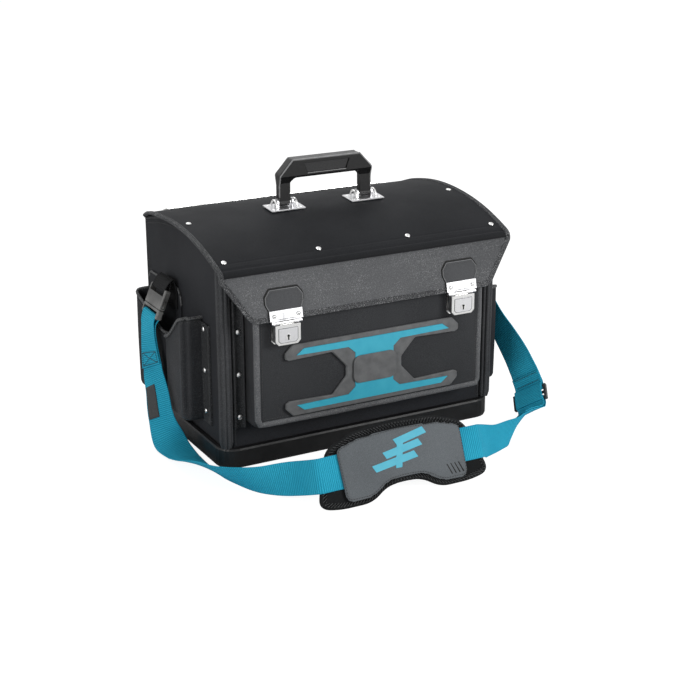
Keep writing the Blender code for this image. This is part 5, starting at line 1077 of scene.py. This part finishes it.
def webbing_mesh(stations):
    """A strap of the right section through its stations, with its map in metres."""
    half_web = web_width / 2
    half_thick = web_thickness / 2
    section = [(-half_web, 0), (-half_web + 0.0004, half_thick * 0.9),
               (-half_web + 0.0016, half_thick * 1.1), (-half_web + 0.0028, half_thick * 0.8)]
    section += [(across / 1000, half_thick * 0.85) for across in range(-18, 19, 6)]
    section += [(-across, up) for across, up in reversed(section[1:4])] + [(half_web, 0)]
    section += [(across, -up) for across, up in reversed(section[1:-1])]
    work = bmesh.new()
    layer = work.loops.layers.uv.new("map")
    rings = []
    run = 0.0
    for place, (centre, across, out) in enumerate(stations):
        run += (centre - stations[max(place - 1, 0)][0]).length
        rings.append((run, [work.verts.new(centre + across * x + out * up) for x, up in section]))
    count = len(section)
    for (start, lower), (end, upper) in zip(rings, rings[1:]):
        for place in range(count):
            after = (place + 1) % count
            made = work.faces.new((lower[place], lower[after], upper[after], upper[place]))
            made.smooth = True
            corners = ((place, start), (after, start), (after, end), (place, end))
            for loop, (corner, along) in zip(made.loops, corners):
                loop[layer].uv = (section[corner][0], along)
    work.faces.new(rings[0][1][::-1])
    work.faces.new(rings[-1][1])
    return kept(work, True)


def frame_of(origin, across, along):
    """A frame for a fitting on the strap: X across it, Y along it, Z out of it."""
    x = Vector(across).normalized()
    z = x.cross(Vector(along)).normalized()
    made = Matrix((x, z.cross(x), z)).transposed().to_4x4()
    made.translation = Vector(origin)
    return made


def way_of(place, x, y, z):
    """A direction of a fitting's frame."""
    return place.to_3x3() @ Vector((x, y, z))


def lie(x, y, z):
    """A point of the strap's lie: shares of half the width, half the depth and the webbing."""
    return Vector((x * 0.274, y * 0.1535, z * 0.0505952 + 0.0005))


def lying(*spots):
    """Stations of the lie, each given as its three shares and the way across the strap."""
    return [(lie(x, y, z), Vector(across).normalized()) for x, y, z, across in spots]


strap_slot = {"slot": "blue_webbing"}
buckle_lean = math.radians(24)
anchor_y = 0.040
buckle_place = frame_of((panel - 0.019, anchor_y, 0.240), (0, 1, 0),
                        (-math.sin(buckle_lean), 0, -math.cos(buckle_lean)))
pad_place = Matrix.Translation((-0.040, -0.35, 0.0005)) @ Matrix.Rotation(math.radians(65), 4, "X")
slider_place = frame_of(lie(1.035, -1.30, 0.74), (-0.56, 0.64, -0.52), (0.36, 0.61, 0.45))
socket_bar = 0.002
plug_bar = 0.0454
slider_bar = 0.012
web_lead = 0.013
pad_half, pad_height = 0.136, 0.106
pad_level = pad_height * 0.485
left_across = way_of(buckle_place, -1, 0, 0)
route = [(buckle_place @ Vector((0, at, 0)), left_across) for at in (plug_bar, plug_bar + web_lead)]
route += lying((-1.012, 0.22, 2.92, (0.10, -0.99, 0.0)), (-1.02, 0.13, 2.25, (0.22, -0.97, 0.0)),
               (-1.025, 0.01, 1.66, (0.33, -0.94, 0.0)), (-1.036, -0.12, 1.0, (0.48, -0.88, 0.0)),
               (-1.02, -0.24, 0.36, (0.84, -0.52, 0.0)), (-1.0, -0.44, 0.10, (1.0, -0.12, -0.04)),
               (-1.0, -0.74, 0.14, (0.95, 0.0, -0.28)), (-0.985, -1.07, 0.32, (0.78, 0.08, -0.61)),
               (-0.945, -1.38, 0.42, (0.60, 0.25, -0.76)), (-0.845, -1.70, 0.53, (0.20, 0.25, -0.95)),
               (-0.71, -1.99, 0.78, (0.0, -0.36, -0.93)))
route += [(pad_place @ Vector((share * pad_half * 2, pad_level, 0.0107)), way_of(pad_place, 0, -1, 0))
          for share in (-0.50, -0.42, -0.2, 0, 0.2, 0.42, 0.49)]
route += lying((0.40, -2.10, 0.84, (0.0, -0.40, -0.92)), (0.50, -1.97, 0.58, (0.0, 0.0, -1.0)),
               (0.61, -1.89, 0.52, (-0.1, 0.08, -0.98)), (0.715, -1.82, 0.51, (-0.24, 0.18, -0.95)),
               (0.80, -1.67, 0.50, (-0.33, 0.40, -0.85)), (0.89, -1.52, 0.50, (-0.45, 0.60, -0.66)))
slider_across = way_of(slider_place, 1, 0, 0)
route += [(slider_place @ Vector((0, -at, 0)), slider_across) for at in (slider_bar + web_lead, slider_bar)]
blue_webbing = webbing_finish("blue_webbing", "1081a2", "3cbedb")
strap_stations = strap_path(route, True, True, 0.083)
add_piece("shoulder_webbing", webbing_mesh(strap_stations), blue_webbing, "shoulder_strap", **strap_slot)

right_place = turned @ buckle_place
right_across = way_of(right_place, -1, 0, 0)
tail = [(slider_place @ Vector((0, at, 0)), slider_across) for at in (slider_bar, slider_bar + web_lead)]
tail += [(lie(x, y, z), slider_across.lerp(right_across, share)) for x, y, z, share in (
    (1.06, -0.98, 1.76, 0.35), (1.035, -0.75, 2.48, 0.65), (1.01, -0.57, 3.05, 0.85))]
tail += [(right_place @ Vector((0, at, 0)), right_across) for at in (plug_bar + web_lead, plug_bar)]
tail_stations = strap_path(tail, True, True, 0.035)
add_piece("tail_webbing", webbing_mesh(tail_stations), blue_webbing, "strap_tail", **strap_slot)


def strap_spot(stations, sideways, at, facing=1):
    """A point on a strap's face at a distance along it, and the way out there."""
    gone = 0.0
    for (start, start_across, start_out), (end, end_across, end_out) in zip(stations, stations[1:]):
        span = (end - start).length
        if gone + span >= at:
            break
        gone += span
    share = (at - gone) / span
    across = start_across.lerp(end_across, share).normalized()
    out = start_out.lerp(end_out, share).normalized() * facing
    return start.lerp(end, share) + across * sideways + out * 0.0010, out


def strap_stitches(name, stations, lines):
    """Rows of stitches on a strap, each line a list of (sideways, distance along)."""
    paths = [[strap_spot(stations, a + (c - a) * step / 10, b + (d - b) * step / 10) for step in range(11)]
             for line in lines for (a, b), (c, d) in zip(line, line[1:])]
    add_piece(name, stitch_mesh(paths, 0.0034, 0.0027, 0.0012, 0.0008), blue_thread, **strap_slot)


blue_thread = sewing_thread("blue_thread", "06303f")
box_side = 0.0205
near, far = 0.0030, 0.0220
box = [[(-box_side, near), (box_side, near), (box_side, far), (-box_side, far), (-box_side, near),
        (box_side, far)], [(box_side, near), (-box_side, far)]]
strap_stitches("left_box_stitches", strap_stations, box)
strap_stitches("tail_stitches", tail_stations,
               [[(-box_side, at), (box_side, at)] for at in (near, 0.0165)])
tail_length = sum((b[0] - a[0]).length for a, b in zip(tail_stations, tail_stations[1:]))
strap_stitches("tail_box_stitches", tail_stations,
               [[(sideways, tail_length - at) for sideways, at in line] for line in box])


# A woven label is sewn to the strap below the box of stitches. It is left bare.
# It runs along the strap's outer edge.
label_start, label_length = 0.207, 0.052
label_edge, label_width = -0.0225, 0.021
rows = []
for step in range(15):
    spots = [strap_spot(strap_stations, label_edge + label_width * share / 6,
                        label_start + label_length * step / 14, -1) for share in range(7)]
    rows.append([point + out * 0.0004 for point, out in spots])
label_cloth = Finish("label_weave")
threads = label_cloth.calc("SINE", label_cloth.parts(label_cloth.place())[2] * (2 * math.pi / 0.0011))
label_cloth.set(Base_Color=label_cloth.mix(label_cloth.cloud(700.0) * 0.6 + threads * 0.15, tint("26282a"),
                                           tint("55585a")),
                Roughness=0.8, Normal=label_cloth.relief(threads, 0.5, 0.2))
thicken(add_piece("strap_label", cloth_mesh(rows), label_cloth, **strap_slot), 0.0006, 0)


# Black webbing is sewn flat on each end panel and hangs out to the buckle's socket.
# It is the same weave as the strap, doubled round the socket's bar.
black_webbing = webbing_finish("black_webbing", "0c0c0d", "2b2c2d")
sewn_x = panel - 0.0040
for side, hand in sides:
    turn = turned if side > 0 else Matrix.Identity(4)
    place = turn @ buckle_place
    across = way_of(place, 1, 0, 0)
    anchor = [(turn @ Vector((x, anchor_y, z)), across)
              for x, z in ((sewn_x, 0.2074), (sewn_x, 0.2224), (sewn_x, 0.2374), (sewn_x - 0.005, 0.255))]
    anchor += [(place @ Vector((0, at, 0)), across) for at in (socket_bar - web_lead, socket_bar)]
    add_piece(hand + "_anchor_cloth", webbing_mesh(strap_path(anchor, False, True, 0.015)), black_webbing,
              hand + "_anchor_webbing", slot="black_webbing")


# Side-release buckles and the three-bar slider are moulded nylon, dark grey and satin, with
# pale scuffs on their edges.
def scuffed(finish):
    """Where the nylon's edges are pale."""
    return worn(finish, 0.52, 0.6)


nylon_skin = ((0.36, 0.2, 120.0), 1300.0, 0.2)
dress(moulded("buckle_plastic", scuffed, "4a4a49", "8a8a88", *nylon_skin), "left_buckle_socket",
      "left_buckle_plug", "right_buckle_socket", "right_buckle_plug")
dress(moulded("slider_plastic", scuffed, "161617", "3c3c3d", *nylon_skin), "strap_slider")
wrap = [(slider_place @ Vector((0, y / 1000, -0.0060 - 0.0008 * math.cos(y / 10.5))), slider_across,
         way_of(slider_place, 0, 0, -1)) for y in range(-17, 18, 2)]
add_piece("slider_wrap", webbing_mesh(wrap), blue_webbing, **strap_slot)


# The shoulder pad: a black foam backing with a bound edge, a grey cover sewn over the strap, and a
# blue inlay of plain bars.
def pad_outline(half_shares, radius):
    """A rounded outline from a right half, in shares of the pad's half length and height."""
    right = [Vector((x * pad_half, y * pad_height)) for x, y in half_shares]
    corners = right + [Vector((-spot.x, spot.y)) for spot in reversed(right) if abs(spot.x) > 1e-6]
    outline = []
    for place, corner in enumerate(corners):
        before = corners[place - 1]
        after = corners[(place + 1) % len(corners)]
        near = min(radius, (before - corner).length * 0.48)
        far = min(radius, (after - corner).length * 0.48)
        outline += bent(before, corner, after, near, far, 6)
    return outline


def padded_piece(name, outline, base, thickness, inset, finish, node, cap, hollow=None):
    """Foam under cloth: an outline's slab, remeshed and blown up a little as cloth, then kept."""
    work = bmesh.new()
    centre = sum(outline, Vector((0, 0))) / len(outline)
    lower, upper = [[work.verts.new((spot.x + (centre.x - spot.x) * inset / 0.13,
                                     spot.y + (centre.y - spot.y) * inset / 0.053, level))
                     for spot in outline] for level in (base, base + thickness)]
    work.faces.new(lower[::-1])
    work.faces.new(upper)
    for place in range(len(outline)):
        after = (place + 1) % len(outline)
        work.faces.new((lower[place], lower[after], upper[after], upper[place]))
    made = bpy.data.objects.new(name, kept(work))
    scene.collection.objects.link(made)
    shape = made.modifiers.new("cells", "REMESH")
    shape.mode = "VOXEL"
    shape.voxel_size = 0.0030
    made.modifiers.new("ease", "SMOOTH").iterations = 3
    mesh = evaluated(made)
    made.modifiers.clear()
    made.data = mesh
    rest = [vertex.co.copy() for vertex in mesh.vertices]
    cloth = made.modifiers.new("cloth", "CLOTH")
    cloth.settings.use_pressure = True
    cloth.settings.uniform_pressure_force = 4
    cloth.settings.effector_weights.gravity = 0
    cloth.point_cache.frame_start = 1
    cloth.point_cache.frame_end = 20
    for now in range(1, 21):
        scene.frame_set(now)
    blown = evaluated(made)
    made.modifiers.clear()
    for vertex, at in zip(blown.vertices, rest):
        move = vertex.co - at
        if move.length > cap:
            vertex.co = at + move.normalized() * cap
    made.data = blown
    scene.frame_set(1)
    if hollow:
        for vertex in made.data.vertices:
            vertex.co = hollow(vertex.co)
    made.data.transform(pad_place)
    made.data.materials.clear()
    made.data.materials.append(finish.material)
    for polygon in made.data.polygons:
        polygon.use_smooth = True
    rounder = made.modifiers.new("rounding", "SUBSURF")
    rounder.levels = 1
    rounder.render_levels = 1
    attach(made, "case")
    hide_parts(node)


def over_strap(spot):
    """The cover's underside keeps off the strap that runs through it."""
    lowest = 0.0122 if abs(spot.y - pad_level) < 0.0275 else 0.0095
    return Vector((spot.x, spot.y, max(spot.z, lowest)))


def ring_path(outline, inset, level):
    """The pad's border, an inset inside its outline, as sewing runs."""
    count = len(outline)
    made = []
    for place in range(count + 1):
        way = outline[(place + 1) % count] - outline[(place - 1) % count]
        if way.length > 1e-7:
            inner = outline[place % count] + Vector((-way.y, way.x)).normalized() * inset
            made.append((pad_place @ Vector((*inner, level)), way_of(pad_place, 0, 0, 1)))
    return made


pad_back_cloth = coated_cloth("pad_back_cloth", "121314", "242526", 0.0014, 0.7, 0.3)
pad_cover_cloth = coated_cloth("pad_cover_cloth", "575b5e", "74797d", 0.0015, 0.66, 0.25)
back_outline = pad_outline(((0, 0.19), (0.22, 0.17), (0.42, 0.0), (0.80, 0.0), (1.03, 0.06), (0.98, 0.30),
                            (0.84, 0.80), (0.50, 0.96), (0, 1.0)), 0.016)
padded_piece("pad_back", back_outline, 0.0010, 0.0070, 0.0015, pad_back_cloth,
             "pad_backing", 0.0015)
front_outline = pad_outline(((0, 0.225), (0.22, 0.210), (0.42, 0.045), (0.76, 0.045), (0.78, 0.80),
                             (0.50, 0.90), (0, 0.94)), 0.012)
padded_piece("pad_cover_cloth", front_outline, 0.0100, 0.0050, 0.0010, pad_cover_cloth,
             "pad_cover", 0.0012, over_strap)
binding_path = [point for point, out in ring_path(back_outline, 0.0012, 0.0048)]
add_piece("pad_binding", cord_mesh(binding_path, 0.0030, 10, 1.25), pad_back_cloth, slot="black_webbing")
stitches = 260
inner_line, outer_line = [even([point for point, out in ring_path(back_outline, inset, level)], stitches)
                          for inset, level in ((0.0075, 0.0088), (0.0010, 0.0084))]
zigzag = [outer_line[place] if place % 2 else inner_line[place] for place in range(stitches + 1)]
add_piece("pad_binding_stitches", cord_mesh(zigzag, 0.00055, 5), sewing_thread("pad_thread", "66686a"),
          slot="black_webbing")
for place in range(4):
    x = 0.068 + 0.0066 * place
    start, end = Vector((x, 0.0290, 0.0153)), Vector((x + 0.0062, 0.0135, 0.0153))
    add_piece("pad_slot_%d" % (place + 1),
              cord_mesh([pad_place @ start.lerp(end, step / 6) for step in range(7)], 0.0012), holes_and_painted_shadow,
              slot="pad_cloth")
add_piece("pad_cover_stitches", stitch_mesh([ring_path(front_outline, 0.0045, 0.0156)]),
          sewing_thread("cover_thread", "3c3b3b"), slot="pad_cloth")
inlay_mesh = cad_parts["pad_inlay"].data.copy()
inlay_mesh.materials.clear()
off_pad = pad_place.inverted()
for vertex in inlay_mesh.vertices:
    spot = off_pad @ vertex.co
    vertex.co = pad_place @ Vector((spot.x * 0.88, 0.052 + (spot.y - 0.055) * 0.84, spot.z))
add_piece("pad_inlay_bars", inlay_mesh, blue_rubber, "pad_inlay", slot="blue_trim")


# Inside: a lined floor board and an upright tool board.
# Both are plain dark hardboard.
board = plain("lining_board", "262524", "3a3836", 0.75, (300.0, 4.0), (900.0, 3.0), 0.4, 0.3)
dress(board, "floor_board", "tool_board")
